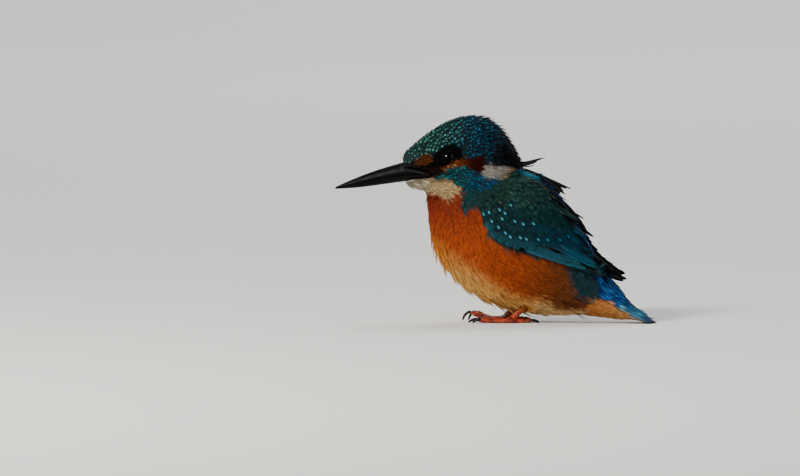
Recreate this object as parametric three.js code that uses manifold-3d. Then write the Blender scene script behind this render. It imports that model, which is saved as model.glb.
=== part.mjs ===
// A common kingfisher, life size, perched with its tail tip down: millimetres, +Z up.
// The bill points along -X, the bird's left side faces -Y, and all that it rests on lies at z = 0.
// Head, neck, trunk and tail coverts are one lofted body, parted by thin cuts. Each wing is four
// panels laid on the rings of that body, and the legs are tubes along their own curves.
import * as THREE from "three";
import { mergeVertices } from "three/addons/utils/BufferGeometryUtils.js";
import Module from "manifold-3d";

const wasm = await Module();
wasm.setup();

// ---- Driving dimensions ---------------------------------------------------------------------

const GAP = 0.3; // left between two pieces that meet
const CUT_DEPTH = 60; // half the size of a cutting block, past the bird's widest place

const BODY_SIDES = 20;
const TRUNK_RINGS = 20;
const HEAD_RINGS = 13;

// Rings of the trunk, from the throat to the tail coverts: the keel point, the back point and the
// half width. A ring stands on the line from its keel point to its back point.
const TRUNK_STATIONS = [
  { keel: [-23.0, 70.0], back: [5.0, 82.0], width: 9.0 },
  { keel: [-33.2, 61.4], back: [13.6, 73.9], width: 14.4 },
  { keel: [-33.0, 53.0], back: [21.6, 70.2], width: 18.4 },
  { keel: [-32.0, 43.0], back: [29.0, 63.5], width: 21.2 },
  { keel: [-28.0, 31.0], back: [35.0, 55.0], width: 22.4 },
  { keel: [-19.8, 20.0], back: [40.0, 46.5], width: 22.0 },
  { keel: [-8.2, 11.2], back: [44.3, 38.5], width: 20.4 },
  { keel: [7.0, 5.4], back: [48.2, 31.3], width: 17.6 },
  { keel: [24.0, 2.6], back: [52.3, 25.2], width: 14.2 },
  { keel: [40.0, 3.0], back: [56.5, 20.1], width: 11.2 },
  { keel: [54.0, 1.5], back: [61.5, 14.0], width: 9.3 },
  { keel: [66.0, 0.8], back: [68.0, 7.4], width: 7.6 },
  { keel: [72.5, 0.5], back: [73.0, 2.6], width: 5.0 },
];

// Rings of the head, from the base of the bill to the nape: throat point, crown point, half width.
const HEAD_STATIONS = [
  { keel: [-43.8, 66.2], back: [-43.8, 79.6], width: 4.6 },
  { keel: [-40.8, 63.2], back: [-41.2, 83.0], width: 6.0 },
  { keel: [-35.6, 61.8], back: [-35.0, 87.8], width: 7.9 },
  { keel: [-29.0, 60.4], back: [-28.0, 92.7], width: 9.7 },
  { keel: [-21.0, 59.0], back: [-20.5, 96.7], width: 11.9 },
  { keel: [-12.0, 58.0], back: [-12.5, 98.6], width: 14.0 },
  { keel: [-3.0, 58.0], back: [-4.5, 97.5], width: 15.2 },
  { keel: [5.0, 60.0], back: [2.4, 92.6], width: 14.6 },
  { keel: [11.0, 64.0], back: [7.8, 84.8], width: 12.2 },
  { keel: [13.4, 70.0], back: [11.6, 77.6], width: 6.5 },
];

// The cuts that part the body, each from a keel point to a back point.
const HEAD_CUT = { keel: [-33.4, 61.6], back: [13.6, 75.0] };
const NECK_CUT = { keel: [-33.0, 53.5], back: [20.5, 71.0] };
const RUMP_CUT = { keel: [27.0, 0.0], back: [52.6, 25.4] };

// Bill, in station order from the tip to the gape.
const BILL_STATIONS = [
  { x: -76.9, culmen: 63.5, edge: 63.05, gonys: 62.6, width: 0.5 },
  { x: -74.0, culmen: 64.9, edge: 63.6, gonys: 62.75, width: 1.05 },
  { x: -69.5, culmen: 66.9, edge: 64.6, gonys: 63.0, width: 1.8 },
  { x: -63.4, culmen: 69.4, edge: 65.9, gonys: 63.6, width: 2.6 },
  { x: -57.4, culmen: 71.6, edge: 67.1, gonys: 64.4, width: 3.2 },
  { x: -50.5, culmen: 73.8, edge: 68.5, gonys: 65.4, width: 3.9 },
  { x: -43.5, culmen: 75.8, edge: 69.8, gonys: 66.4, width: 4.8 },
  { x: -38.0, culmen: 74.9, edge: 70.3, gonys: 67.2, width: 7.0 },
  { x: -33.0, culmen: 73.2, edge: 70.0, gonys: 68.0, width: 8.5 },
  { x: -29.6, culmen: 71.3, edge: 69.7, gonys: 68.9, width: 9.1 },
];
const BILL_ARC_STEPS = 8;

const EYE = { x: -22.2, y: 9.3, z: 78.3, radius: 3.6 };

// Wing: panels over a range of trunk stations, between two angles down from the back line. Each
// row gives the upper and lower angle in degrees and how far the wing stands off the trunk.
const WING_ROWS = [
  { station: 1.5, upper: 44, lower: 62, lift: 0.4 },
  { station: 2.0, upper: 30, lower: 79, lift: 1.1 },
  { station: 3.0, upper: 21, lower: 91, lift: 1.9 },
  { station: 4.0, upper: 18, lower: 94, lift: 2.2 },
  { station: 5.0, upper: 16, lower: 83, lift: 2.3 },
  { station: 6.0, upper: 15, lower: 66, lift: 2.6 },
  { station: 7.0, upper: 14, lower: 53, lift: 3.0 },
  { station: 8.0, upper: 14, lower: 43, lift: 4.0 },
  { station: 9.0, upper: 15, lower: 34, lift: 5.9 },
  { station: 9.6, upper: 20, lower: 27, lift: 7.2 },
];
const WING_THICKNESS = 2.8;
const WING_EDGE = 0.7;
const WING_STEPS = { along: 2.0, across: 8 }; // steps to a station, and round a whole section
const WING_PANELS = {
  scapulars: { from: 1.5, to: 6.4, upper: 0.0, lower: 0.34 },
  coverts: { from: 1.5, to: 5.6, upper: 0.34, lower: 1.0 },
  secondaries: { from: 5.6, to: 8.0, upper: 0.34, lower: 1.0 },
  primaries: { from: 8.0, to: 9.6, upper: 0.0, lower: 1.0 },
  tertials: { from: 6.4, to: 8.0, upper: 0.0, lower: 0.34 },
};
const WHOLE_WING = { from: 1.5, to: 9.6, upper: 0.0, lower: 1.0 };

// Tail: twelve feathers in one shallow roof, its root inside the coverts and its tip on the floor.
const TAIL = {
  root: [44.0, 16.2],
  tip: [77.2, -0.05],
  restsFrom: 0.91, // share of its length at which it comes down to the floor
  rootHalfWidth: 6.5,
  tipHalfWidth: 10.5,
  feathers: 12,
  thickness: 1.3,
  tipThickness: 0.8,
  roofDrop: 1.2,
  scallop: 0.8,
  roundedBy: 3.0,
};
const TAIL_ROWS = [0, TAIL.restsFrom, 1];

// Legs. Each foot is set by the place where its toes meet the tarsus.
const FEET = {
  left: { side: -1, x: 9.0, y: 9.2, arch: 0.6 },
  right: { side: 1, x: 3.6, y: 8.8, arch: 3.0 },
};
const TARSUS = { run: 8.4, rise: 6.9, footZ: 1.7, footRadius: 1.55, heelRadius: 1.35 };
const SOLE = { length: 2.6, width: 3.7, height: 1.5, z: 1.3 }; // half sizes of the fused sole
const THIGH = { radius: 3.3, hemRadius: 2.1, run: 3.6, rise: 4.6 };
// Each toe: its reach from the foot's centre, how far it splays and starts from it, its radius.
const TOES = {
  inner: { reach: -10.2, splay: -3.7, start: -2.5, radius: 1.0 },
  middle: { reach: -16.2, splay: -0.1, start: 0.0, radius: 1.15 },
  outer: { reach: -14.0, splay: 3.1, start: 2.6, radius: 1.1 },
  hind: { reach: 9.0, splay: -1.4, start: -0.3, radius: 1.1 },
};
const CLAW = { length: 3.9, rootRadius: 0.62, tipRadius: 0.26 };
const LIMB_SIDES = 8;
const CLAW_SIDES = 6;

// ---- Materials ------------------------------------------------------------------------------

const finish = (color, roughness) =>
  new THREE.MeshStandardMaterial({ color, roughness, metalness: 0 });

const MATERIALS = {
  blue: finish(0x14525f, 0.55),
  azure: finish(0x1d6fb8, 0.5),
  orange: finish(0xb8561b, 0.7),
  dark: finish(0x101a20, 0.55),
  bill: finish(0x0d0c0d, 0.35),
  eye: finish(0x060505, 0.08),
  leg: finish(0xb8321a, 0.45),
  claw: finish(0x16110f, 0.35),
};

// ---- Solids ---------------------------------------------------------------------------------

/** Closes a stack of equal rings of points into one surface, with a fan over each end. */
function loft(rings) {
  const sides = rings[0].length;
  const points = rings.flat();
  const faces = [];
  for (let i = 0; i + 1 < rings.length; i++) {
    for (let j = 0; j < sides; j++) {
      const a = i * sides + j;
      const b = i * sides + ((j + 1) % sides);
      faces.push([a, b, b + sides], [a, b + sides, a + sides]);
    }
  }
  const lastRing = (rings.length - 1) * sides;
  const ends = [rings[0], rings.at(-1)].map((ring) =>
    ring.reduce((sum, p) => sum.add(p), new THREE.Vector3()).divideScalar(sides),
  );
  const firstEnd = points.push(ends[0]) - 1;
  const lastEnd = points.push(ends[1]) - 1;
  for (let j = 0; j < sides; j++) {
    const next = (j + 1) % sides;
    faces.push([firstEnd, next, j], [lastEnd, lastRing + j, lastRing + next]);
  }
  return facingOut(points, faces);
}

/** An indexed geometry whose faces point outwards, whichever way round the rings ran. */
function facingOut(points, faces) {
  const cross = new THREE.Vector3();
  const volume = faces.reduce(
    (sum, [a, b, c]) => sum + points[a].dot(cross.crossVectors(points[b], points[c])),
    0,
  );
  const turned = volume < 0 ? faces.map(([a, b, c]) => [a, c, b]) : faces;
  return new THREE.BufferGeometry().setFromPoints(points).setIndex(turned.flat());
}

/** A three.js geometry as a manifold-3d solid. */
function solid(geometry) {
  const bare = geometry.clone();
  bare.deleteAttribute("normal");
  bare.deleteAttribute("uv");
  const merged = mergeVertices(bare, 1e-4);
  return new wasm.Manifold(
    new wasm.Mesh({
      numProp: 3,
      vertProperties: merged.attributes.position.array,
      triVerts: new Uint32Array(merged.index.array),
    }),
  );
}

/** A manifold-3d solid as a three.js geometry. */
function geometryOf(body) {
  const { vertProperties, triVerts } = body.getMesh();
  const geometry = new THREE.BufferGeometry();
  geometry.setAttribute("position", new THREE.BufferAttribute(vertProperties, 3));
  geometry.setIndex(new THREE.BufferAttribute(triVerts, 1));
  geometry.computeVertexNormals();
  return geometry;
}

/** Everything above the floor, as one block. */
const aboveFloor = solid(
  new THREE.BoxGeometry(400, 400, 400).translate(0, 0, 200),
);

/** The block on the head side of a cut from its keel point to its back point, moved by `shift`. */
function headSideOf({ keel, back }, shift) {
  const [dx, dz] = [back[0] - keel[0], back[1] - keel[1]];
  const length = Math.hypot(dx, dz);
  const normal = [-dz / length, dx / length];
  const middle = [(keel[0] + back[0]) / 2, (keel[1] + back[1]) / 2];
  const reach = CUT_DEPTH * 2 + shift;
  const block = new THREE.BoxGeometry(CUT_DEPTH * 4, CUT_DEPTH * 2, CUT_DEPTH * 4);
  block.rotateY(-Math.atan2(dz, dx));
  block.translate(middle[0] + normal[0] * reach, 0, middle[1] + normal[1] * reach);
  return solid(block);
}

// ---- Body forms -----------------------------------------------------------------------------

/** A smooth function of the station number through the values of one column of a table. */
function column(stations, read) {
  const curve = new THREE.SplineCurve(stations.map((s, i) => new THREE.Vector2(i, read(s))));
  return (t) => curve.getPoint(THREE.MathUtils.clamp(t / (stations.length - 1), 0, 1)).y;
}

/** A body form between a keel line and a back line, with a point for each station and angle. */
function bodyForm(stations) {
  const keelX = column(stations, (s) => s.keel[0]);
  const keelZ = column(stations, (s) => s.keel[1]);
  const backX = column(stations, (s) => s.back[0]);
  const backZ = column(stations, (s) => s.back[1]);
  const width = column(stations, (s) => s.width);
  /** The point at an angle from the back line, towards +Y, `lift` outside the form. */
  const point = (t, angle, lift = 0) => {
    const half = new THREE.Vector3(backX(t) - keelX(t), 0, backZ(t) - keelZ(t)).divideScalar(2);
    const centre = new THREE.Vector3(keelX(t), 0, keelZ(t)).add(half);
    const depth = half.length() + lift;
    const spread = (width(t) + lift) * Math.sin(angle);
    return centre
      .addScaledVector(half.normalize(), depth * Math.cos(angle))
      .add(new THREE.Vector3(0, spread, 0));
  };
  const geometry = (rings) =>
    loft(
      Array.from({ length: rings + 1 }, (_, i) =>
        Array.from({ length: BODY_SIDES }, (_, j) =>
          point((i / rings) * (stations.length - 1), (j / BODY_SIDES) * Math.PI * 2),
        ),
      ),
    );
  return { point, geometry };
}

const trunkForm = bodyForm(TRUNK_STATIONS);
const headForm = bodyForm(HEAD_STATIONS);

/** One mandible: rings that arch from the cutting edge to the culmen or the gonys. */
function mandible(ridge, clearance) {
  const xOf = column(BILL_STATIONS, (s) => s.x);
  const edgeOf = column(BILL_STATIONS, (s) => s.edge);
  const ridgeOf = column(BILL_STATIONS, (s) => s[ridge]);
  const widthOf = column(BILL_STATIONS, (s) => s.width);
  const up = ridge === "culmen" ? 1 : -1;
  const seam = up * (clearance ? -clearance : GAP / 2);
  const rings = BILL_STATIONS.map((_, t) =>
    Array.from({ length: BILL_ARC_STEPS + 1 }, (_, k) => {
      const angle = (k / BILL_ARC_STEPS) * Math.PI;
      const height = ridgeOf(t) + up * clearance - edgeOf(t) - seam;
      const across = (widthOf(t) + clearance * 2) * Math.cos(angle);
      const along = t === BILL_STATIONS.length - 1 ? clearance : 0;
      const z = edgeOf(t) + seam + height * Math.sin(angle) ** 0.85;
      return new THREE.Vector3(xOf(t) + along, across, z);
    }),
  );
  return loft(rings);
}

/** An eyeball on one side of the head. */
function eyeball(side, clearance) {
  const ball = new THREE.SphereGeometry(EYE.radius + clearance, 12, 8);
  return ball.rotateX(Math.PI / 2).translate(EYE.x, side * EYE.y, EYE.z);
}

/** A panel of a folded wing: an outer and an inner skin over a patch of the trunk's rings. */
function wingPanel(side, { from, to, upper, lower }, clearance) {
  const rowAt = (t, key) => {
    const last = WING_ROWS.length - 1;
    const after = Math.max(1, WING_ROWS.findIndex((row) => row.station >= t));
    const [a, b] = [WING_ROWS[after - 1], WING_ROWS[Math.min(after, last)]];
    const share = THREE.MathUtils.clamp((t - a.station) / (b.station - a.station), 0, 1);
    return THREE.MathUtils.lerp(a[key], b[key], share);
  };
  const length = to - from;
  const rings = Math.max(2, Math.round(length * WING_STEPS.along));
  const steps = Math.max(2, Math.round((lower - upper) * WING_STEPS.across));
  const inset = (GAP / 2 - clearance) / 6; // a station is about six millimetres long
  const first = WING_ROWS[0].station;
  const last = WING_ROWS.at(-1).station;
  const sections = Array.from({ length: rings + 1 }, (_, i) => {
    const t = from + inset + (length - 2 * inset) * (i / rings);
    const high = THREE.MathUtils.degToRad(rowAt(t, "upper"));
    const low = THREE.MathUtils.degToRad(rowAt(t, "lower"));
    const size = trunkForm.point(t, Math.PI / 2, rowAt(t, "lift")).y;
    const trim = (GAP / 2 - clearance) / size;
    const endTaper = Math.min(1, (t - first) * 1.6 + 0.25, (last - t) * 0.9 + 0.35);
    const skin = (share, inner) => {
      const across = THREE.MathUtils.lerp(upper, lower, share);
      const angle = THREE.MathUtils.lerp(high, low, across) + trim * (1 - 2 * share);
      const swell = Math.max(0, Math.sin(Math.PI * across)) ** 0.6;
      const full = WING_EDGE + (WING_THICKNESS - WING_EDGE) * swell * Math.max(0, endTaper);
      const edgeDrop = (1 - swell) * 0.8;
      const outside = rowAt(t, "lift") - edgeDrop + clearance;
      const lift = inner ? outside - full - 2 * clearance : outside;
      const point = trunkForm.point(t, angle, lift);
      return point.setY(point.y * side);
    };
    const outer = Array.from({ length: steps + 1 }, (_, k) => skin(k / steps, false));
    const under = Array.from({ length: steps + 1 }, (_, k) => skin(1 - k / steps, true));
    return [...outer, ...under];
  });
  return loft(sections);
}

/** The tail: a thin roof of feathers with a scalloped, rounded end. */
function tail(clearance) {
  const columns = TAIL.feathers * 2;
  const slope = [TAIL.tip[0] - TAIL.root[0], TAIL.tip[1] - TAIL.root[1]];
  const rings = Array.from({ length: columns + 1 }, (_, i) => {
    const across = (2 * i) / columns - 1;
    const feather = Math.abs(Math.sin((Math.PI * i) / 2));
    const short = TAIL.roundedBy * across ** 2 + TAIL.scallop * (1 - feather) - clearance;
    const reach = 1 - short / Math.hypot(...slope);
    const skin = (share, top) => {
      const along = share * reach;
      const half = THREE.MathUtils.lerp(TAIL.rootHalfWidth, TAIL.tipHalfWidth, along);
      const thick = THREE.MathUtils.lerp(TAIL.thickness, TAIL.tipThickness, along);
      const fall = Math.max(0, 1 - along / TAIL.restsFrom);
      const roof = TAIL.roofDrop * across ** 2 * fall;
      const z = TAIL.tip[1] - slope[1] * fall - roof + (top ? thick + clearance : -clearance);
      return new THREE.Vector3(TAIL.root[0] + slope[0] * along, across * (half + clearance), z);
    };
    const upper = TAIL_ROWS.map((share) => skin(share, true));
    const under = TAIL_ROWS.map((share) => skin(share, false)).reverse();
    return [...upper, ...under];
  });
  return loft(rings);
}

/** A round limb along a smooth curve, with a radius for each of its points. */
function limb(points, radii, sides, rings) {
  const curve = new THREE.CatmullRomCurve3(points);
  const radiusOf = column(radii, (r) => r);
  const sections = Array.from({ length: rings + 1 }, (_, i) => {
    const share = i / rings;
    const centre = curve.getPoint(share);
    const along = curve.getTangent(share);
    const across = new THREE.Vector3(0, 1, 0).cross(along).normalize();
    const aside = along.clone().cross(across);
    const radius = radiusOf(share * (radii.length - 1));
    return Array.from({ length: sides }, (_, k) => {
      const angle = ((k + 0.5) / sides) * Math.PI * 2;
      return centre
        .clone()
        .addScaledVector(across, radius * Math.cos(angle))
        .addScaledVector(aside, radius * Math.sin(angle));
    });
  });
  return loft(sections);
}

// ---- Legs -----------------------------------------------------------------------------------

/** Where the toes of a foot meet its tarsus. */
const footCentre = (foot) => new THREE.Vector3(foot.x, foot.side * foot.y, TARSUS.footZ);

/** The bare lower leg, from the toes up to the heel inside the belly feathers. */
function tarsus(foot, clearance) {
  const low = footCentre(foot).add(new THREE.Vector3(0.6, 0, 0.55));
  const high = low.clone().add(new THREE.Vector3(TARSUS.run, -foot.side * 0.8, TARSUS.rise));
  const middle = low.clone().lerp(high, 0.5).add(new THREE.Vector3(-0.3, 0, 0.2));
  const radii = [TARSUS.footRadius, 1.2, TARSUS.heelRadius].map((r) => r + clearance);
  return limb([low, middle, high], radii, LIMB_SIDES, 5);
}

/** The broad sole that the three front toes grow from. */
function sole(foot, clearance) {
  const sizes = [SOLE.length, SOLE.width, SOLE.height].map((size) => size + clearance);
  const pad = new THREE.SphereGeometry(1, 10, 6).rotateX(Math.PI / 2).scale(...sizes);
  return pad.translate(foot.x, foot.side * foot.y, SOLE.z);
}

/** The feathered shank: a short tuft round the top of the tarsus. */
function thigh(foot, clearance) {
  const heel = footCentre(foot).add(new THREE.Vector3(TARSUS.run, -foot.side * 0.8, TARSUS.rise));
  const hem = heel.clone().add(new THREE.Vector3(-THIGH.run, 0, -THIGH.rise * 0.55));
  const top = heel.clone().add(new THREE.Vector3(THIGH.run, 0, THIGH.rise));
  const radii = [THIGH.hemRadius, THIGH.radius, THIGH.radius * 0.7].map((r) => r + clearance);
  return limb([hem, heel, top], radii, LIMB_SIDES, 5);
}

/** The centre line of a toe, from the foot's centre to the root of its claw. */
function toeLine(foot, toe) {
  const { x, y } = footCentre(foot);
  const forward = Math.sign(toe.reach);
  const begin = x + forward * 1.2;
  const end = x + toe.reach;
  const arch = toe.reach < -12 ? foot.arch : 0.3;
  const place = (share, z) =>
    new THREE.Vector3(
      THREE.MathUtils.lerp(begin, end, share),
      y + foot.side * THREE.MathUtils.lerp(toe.start, toe.splay, share),
      z,
    );
  const flat = toe.radius - 0.12;
  return [place(0, flat + 0.25), place(0.45, flat), place(0.78, flat + arch * 0.45), place(1, flat + arch)];
}

/** A toe, thicker at its joints than between them. */
function toeSolid(foot, toe) {
  const waist = toe.radius * 0.86;
  return limb(
    toeLine(foot, toe),
    [toe.radius, waist, toe.radius, waist, toe.radius * 0.95, waist * 0.86],
    LIMB_SIDES,
    6,
  );
}

/** The curved claw at the end of a toe, with its tip on the floor. */
function claw(foot, toe) {
  const root = toeLine(foot, toe).at(-1);
  const forward = Math.sign(toe.reach);
  const start = root.clone().add(new THREE.Vector3(forward * (GAP + 0.1), 0, 0.1));
  const drop = start.z - CLAW.tipRadius * 0.6;
  const length = CLAW.length * (toe.radius / TOES.middle.radius);
  const spots = [0, 0.45, 0.8, 1].map((share) =>
    start
      .clone()
      .add(new THREE.Vector3(forward * length * Math.sin(share * 1.25), 0, -drop * share ** 1.9)),
  );
  const middle = (CLAW.rootRadius + CLAW.tipRadius) / 2;
  return limb(spots, [CLAW.rootRadius, middle, CLAW.tipRadius], CLAW_SIDES, 4);
}

// ---- Assembly -------------------------------------------------------------------------------

const kingfisher = new THREE.Group();

/** Adds one named piece to the bird, trimmed to the floor. */
function place(name, body, material) {
  const mesh = new THREE.Mesh(geometryOf(body.intersect(aboveFloor)), material);
  mesh.name = name;
  kingfisher.add(mesh);
}

/** Takes the first solid and cuts each of the others out of it. */
const cutBy = (body, cutters) => cutters.reduce((left, cutter) => left.subtract(cutter), body);

const feet = Object.entries(FEET);
const billCutters = ["culmen", "gonys"].map((ridge) => solid(mandible(ridge, GAP)));
const eyeCutters = [-1, 1].map((side) => solid(eyeball(side, GAP)));
const legCutters = feet.flatMap(([, foot]) =>
  [tarsus, sole, thigh].map((form) => solid(form(foot, GAP))),
);
const wingCutters = [-1, 1].map((side) => solid(wingPanel(side, WHOLE_WING, GAP)));

// The fleshy body: one union, parted from the bill to the tail.
const whole = cutBy(solid(trunkForm.geometry(TRUNK_RINGS)).add(solid(headForm.geometry(HEAD_RINGS))), [
  ...billCutters,
  ...eyeCutters,
  ...wingCutters,
  ...legCutters,
]);
const head = whole.intersect(headSideOf(HEAD_CUT, GAP / 2));
const neck = whole
  .subtract(headSideOf(HEAD_CUT, -GAP / 2))
  .intersect(headSideOf(NECK_CUT, GAP / 2));
const behindNeck = cutBy(whole, [headSideOf(NECK_CUT, -GAP / 2), solid(tail(GAP))]);
const trunk = behindNeck.intersect(headSideOf(RUMP_CUT, GAP / 2));
const coverts = behindNeck.subtract(headSideOf(RUMP_CUT, -GAP / 2));
const tailPlane = { keel: TAIL.root, back: TAIL.tip };

/** The largest body of a solid, without the slivers that a cut leaves. */
const largest = (body) =>
  body.decompose().reduce((best, part) => (part.volume() > best.volume() ? part : best));

place("head", largest(head), MATERIALS.blue);
place("neck", largest(neck), MATERIALS.orange);
place("trunk", largest(trunk), MATERIALS.orange);
place("rump", largest(coverts.intersect(headSideOf(tailPlane, 0))), MATERIALS.azure);
place("undertail", largest(coverts.subtract(headSideOf(tailPlane, 0))), MATERIALS.orange);
place("tail", solid(tail(0)), MATERIALS.azure);
place("bill_upper", solid(mandible("culmen", 0)), MATERIALS.bill);
place("bill_lower", solid(mandible("gonys", 0)), MATERIALS.bill);

const SIDES = { left: -1, right: 1 };
for (const [sideName, side] of Object.entries(SIDES)) {
  place(`eye_${sideName}`, solid(eyeball(side, 0)), MATERIALS.eye);
  for (const [panelName, panel] of Object.entries(WING_PANELS)) {
    const material = panelName === "primaries" ? MATERIALS.dark : MATERIALS.blue;
    place(`wing_${sideName}_${panelName}`, solid(wingPanel(side, panel, 0)), material);
  }
}

for (const [sideName, foot] of feet) {
  const cutters = [tarsus, sole].map((form) => solid(form(foot, GAP)));
  const shank = solid(tarsus(foot, 0)).add(solid(sole(foot, 0)));
  place(`thigh_${sideName}`, solid(thigh(foot, 0)).subtract(cutters[0]), MATERIALS.orange);
  place(`tarsus_${sideName}`, shank, MATERIALS.leg);
  for (const [toeName, toe] of Object.entries(TOES)) {
    const body = largest(cutBy(solid(toeSolid(foot, toe)), cutters));
    place(`toe_${sideName}_${toeName}`, body, MATERIALS.leg);
    place(`claw_${sideName}_${toeName}`, solid(claw(foot, toe)), MATERIALS.claw);
  }
}

// The frame's origin is the middle of the bird's box, on the floor.
const box = new THREE.Box3().setFromObject(kingfisher);
const centre = box.getCenter(new THREE.Vector3());
kingfisher.position.set(-centre.x, -centre.y, -box.min.z);

export default kingfisher;
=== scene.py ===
"""A perched common kingfisher in life size: skin, plumage, quills, bill, eyes, feet and studio."""
import logging
import math
from dataclasses import dataclass, field, fields, replace
from enum import Enum
from typing import Callable, ClassVar, Sequence

import bmesh
import bpy
import numpy as np
from mathutils import Euler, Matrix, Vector
from mathutils.bvhtree import BVHTree
from mathutils.kdtree import KDTree


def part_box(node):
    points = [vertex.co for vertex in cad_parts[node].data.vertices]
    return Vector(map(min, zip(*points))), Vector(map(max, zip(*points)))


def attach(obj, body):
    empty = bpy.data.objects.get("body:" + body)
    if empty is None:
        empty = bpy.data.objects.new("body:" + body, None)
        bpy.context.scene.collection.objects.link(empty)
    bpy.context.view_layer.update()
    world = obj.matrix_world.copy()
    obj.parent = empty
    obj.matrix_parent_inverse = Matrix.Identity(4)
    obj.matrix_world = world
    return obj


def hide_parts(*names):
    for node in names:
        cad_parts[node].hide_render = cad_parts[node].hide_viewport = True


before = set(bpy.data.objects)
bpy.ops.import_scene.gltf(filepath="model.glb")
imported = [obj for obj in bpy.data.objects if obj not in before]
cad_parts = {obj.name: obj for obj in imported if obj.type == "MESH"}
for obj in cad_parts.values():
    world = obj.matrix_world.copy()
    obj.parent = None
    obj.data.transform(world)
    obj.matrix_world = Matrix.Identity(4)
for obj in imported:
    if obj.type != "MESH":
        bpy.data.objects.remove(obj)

LOG = logging.getLogger("kingfisher")
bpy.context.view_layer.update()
MM = 0.001
BAKE_PATCH = 0.003
OTHER_FLANK = np.array([1.0, -1.0, 1.0])
Socket = bpy.types.NodeSocket
Node = bpy.types.Node
Pair = tuple[float, float]
Triple = tuple[float, float, float]


# ---- Colours and small helpers ------------------------------------------------------------------


def linear(code: str) -> Triple:
    """Reads a six-digit display colour as linear red, green and blue."""
    parts = [int(code[i:i + 2], 16) / 255 for i in (0, 2, 4)]
    return tuple(c / 12.92 if c <= 0.04045 else ((c + 0.055) / 1.055) ** 2.4 for c in parts)


def smooth(low: float, high: float, value: np.ndarray) -> np.ndarray:
    """Eases from 0 at one value to 1 at another."""
    share = np.clip((value - low) / (high - low), 0.0, 1.0)
    return share * share * (3.0 - 2.0 * share)


def unit(vectors: np.ndarray) -> np.ndarray:
    """Gives each row of an array a length of one."""
    return vectors / np.maximum(np.linalg.norm(vectors, axis=-1, keepdims=True), 1e-12)


def ripple(points: np.ndarray, size: float, seed: float) -> np.ndarray:
    """Makes a soft wave through space, for uneven borders.

    Args:
        points: places in metres.
        size: about how far apart the crests are, in millimetres.
        seed: shifts the pattern.

    Returns:
        Numbers from about -1 to 1.
    """
    p = points * (1.0 / (size * MM))
    first = np.sin(2.1 * p[:, 0] + 1.3 * p[:, 1] + 1.7 * np.sin(1.9 * p[:, 2] + seed) + seed)
    second = np.sin(1.7 * p[:, 2] - 1.1 * p[:, 0] + 1.9 * np.sin(2.3 * p[:, 1] - seed) + 2.7 * seed)
    return 0.5 * (first + second)


def facing(way: Vector) -> Euler:
    """Gives the turn that points a lamp or a camera along a direction."""
    return way.to_track_quat("-Z", "Y").to_euler()


class SideView:
    """Flattens a place on either flank on to one slightly oblique side plane, in millimetres."""

    turn = math.radians(8.5)
    tilt = math.radians(3.0)

    def __init__(self) -> None:
        """Works out the three directions of the view."""
        across, ahead = math.sin(self.turn), math.cos(self.turn)
        self.right = np.array([ahead, across, 0.0])
        self.out = np.array([across * math.cos(self.tilt), -ahead * math.cos(self.tilt), math.sin(self.tilt)])
        self.up = np.cross(self.out, self.right)

    def flatten(self, points: np.ndarray) -> np.ndarray:
        """Puts places on the plane, the right flank's as if they were on the left.

        Args:
            points: places in metres.

        Returns:
            Columns of millimetres along the bird and up.
        """
        folded = points.copy()
        folded[:, 1] = -np.abs(points[:, 1])
        return np.stack([folded @ self.right, folded @ self.up], axis=1) / MM

    def place(self, spot: Sequence[float]) -> np.ndarray:
        """Gives the place in metres of a spot on the plane."""
        return (spot[0] * self.right + spot[1] * self.up) * MM

    def ray(self, spot: Sequence[float]) -> tuple[Vector, Vector]:
        """Starts a straight look at the left flank through a spot on the plane."""
        return Vector(self.place(spot) + self.out * 0.4), Vector(-self.out)


VIEW = SideView()


# ---- Markings -----------------------------------------------------------------------------------


class Region(Enum):
    """The tracts of the coat, each with its own colours and feathers."""

    BREAST = 0
    BELLY = 1
    FLANK = 2
    VENT = 3
    UNDERTAIL = 4
    DARK_FLANK = 5
    RUMP = 6
    BACK = 7
    MANTLE = 8
    BREAST_SIDE = 9
    THROAT = 10
    NECK_PATCH = 11
    MALAR = 12
    CHEEK = 13
    CROWN = 14
    LORE = 15
    EYE_RING = 16


def shade(first: str, last: str, places: np.ndarray, start: Pair = (0.0, 0.0), end: Pair = (1.0, 0.0)) -> np.ndarray:
    """Passes from one colour into another between two places on the side plane.

    Args:
        first: the colour at the start.
        last: the colour at the end.
        places: where to read it, in columns of millimetres.
        start: where the change begins.
        end: where the change ends.

    Returns:
        One linear colour to a row.
    """
    run = np.array(end) - np.array(start)
    share = ((places - np.array(start)) @ run) / float(run @ run)
    weight = smooth(0.0, 1.0, share)[:, None]
    return np.array(linear(first)) * (1 - weight) + np.array(linear(last)) * weight


def depth_in(outline: np.ndarray, places: np.ndarray) -> np.ndarray:
    """Measures how far inside an outline each place lies.

    Args:
        outline: its corners, in columns of millimetres.
        places: columns of millimetres on the side plane.

    Returns:
        Millimetres inside, negative outside.
    """
    nearest = np.full(len(places), 1e9)
    inside = np.zeros(len(places), dtype=bool)
    for a, b in zip(outline, np.roll(outline, -1, axis=0)):
        run = b - a
        share = np.clip(((places - a) @ run) / float(run @ run), 0, 1)
        nearest = np.minimum(nearest, np.linalg.norm(places - a - share[:, None] * run, axis=1))
        crosses = (a[1] > places[:, 1]) != (b[1] > places[:, 1])
        height = np.where(crosses, places[:, 1] - a[1], 0.0)
        inside ^= crosses & (places[:, 0] < a[0] + height * run[0] / (run[1] if abs(run[1]) > 1e-9 else 1e-9))
    return np.where(inside, nearest, -nearest)


def corners_of(text: str) -> np.ndarray:
    """Reads an outline written as pairs of millimetres, along the bird and up."""
    return np.array([[float(number) for number in pair.split(",")] for pair in text.split()])


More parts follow.
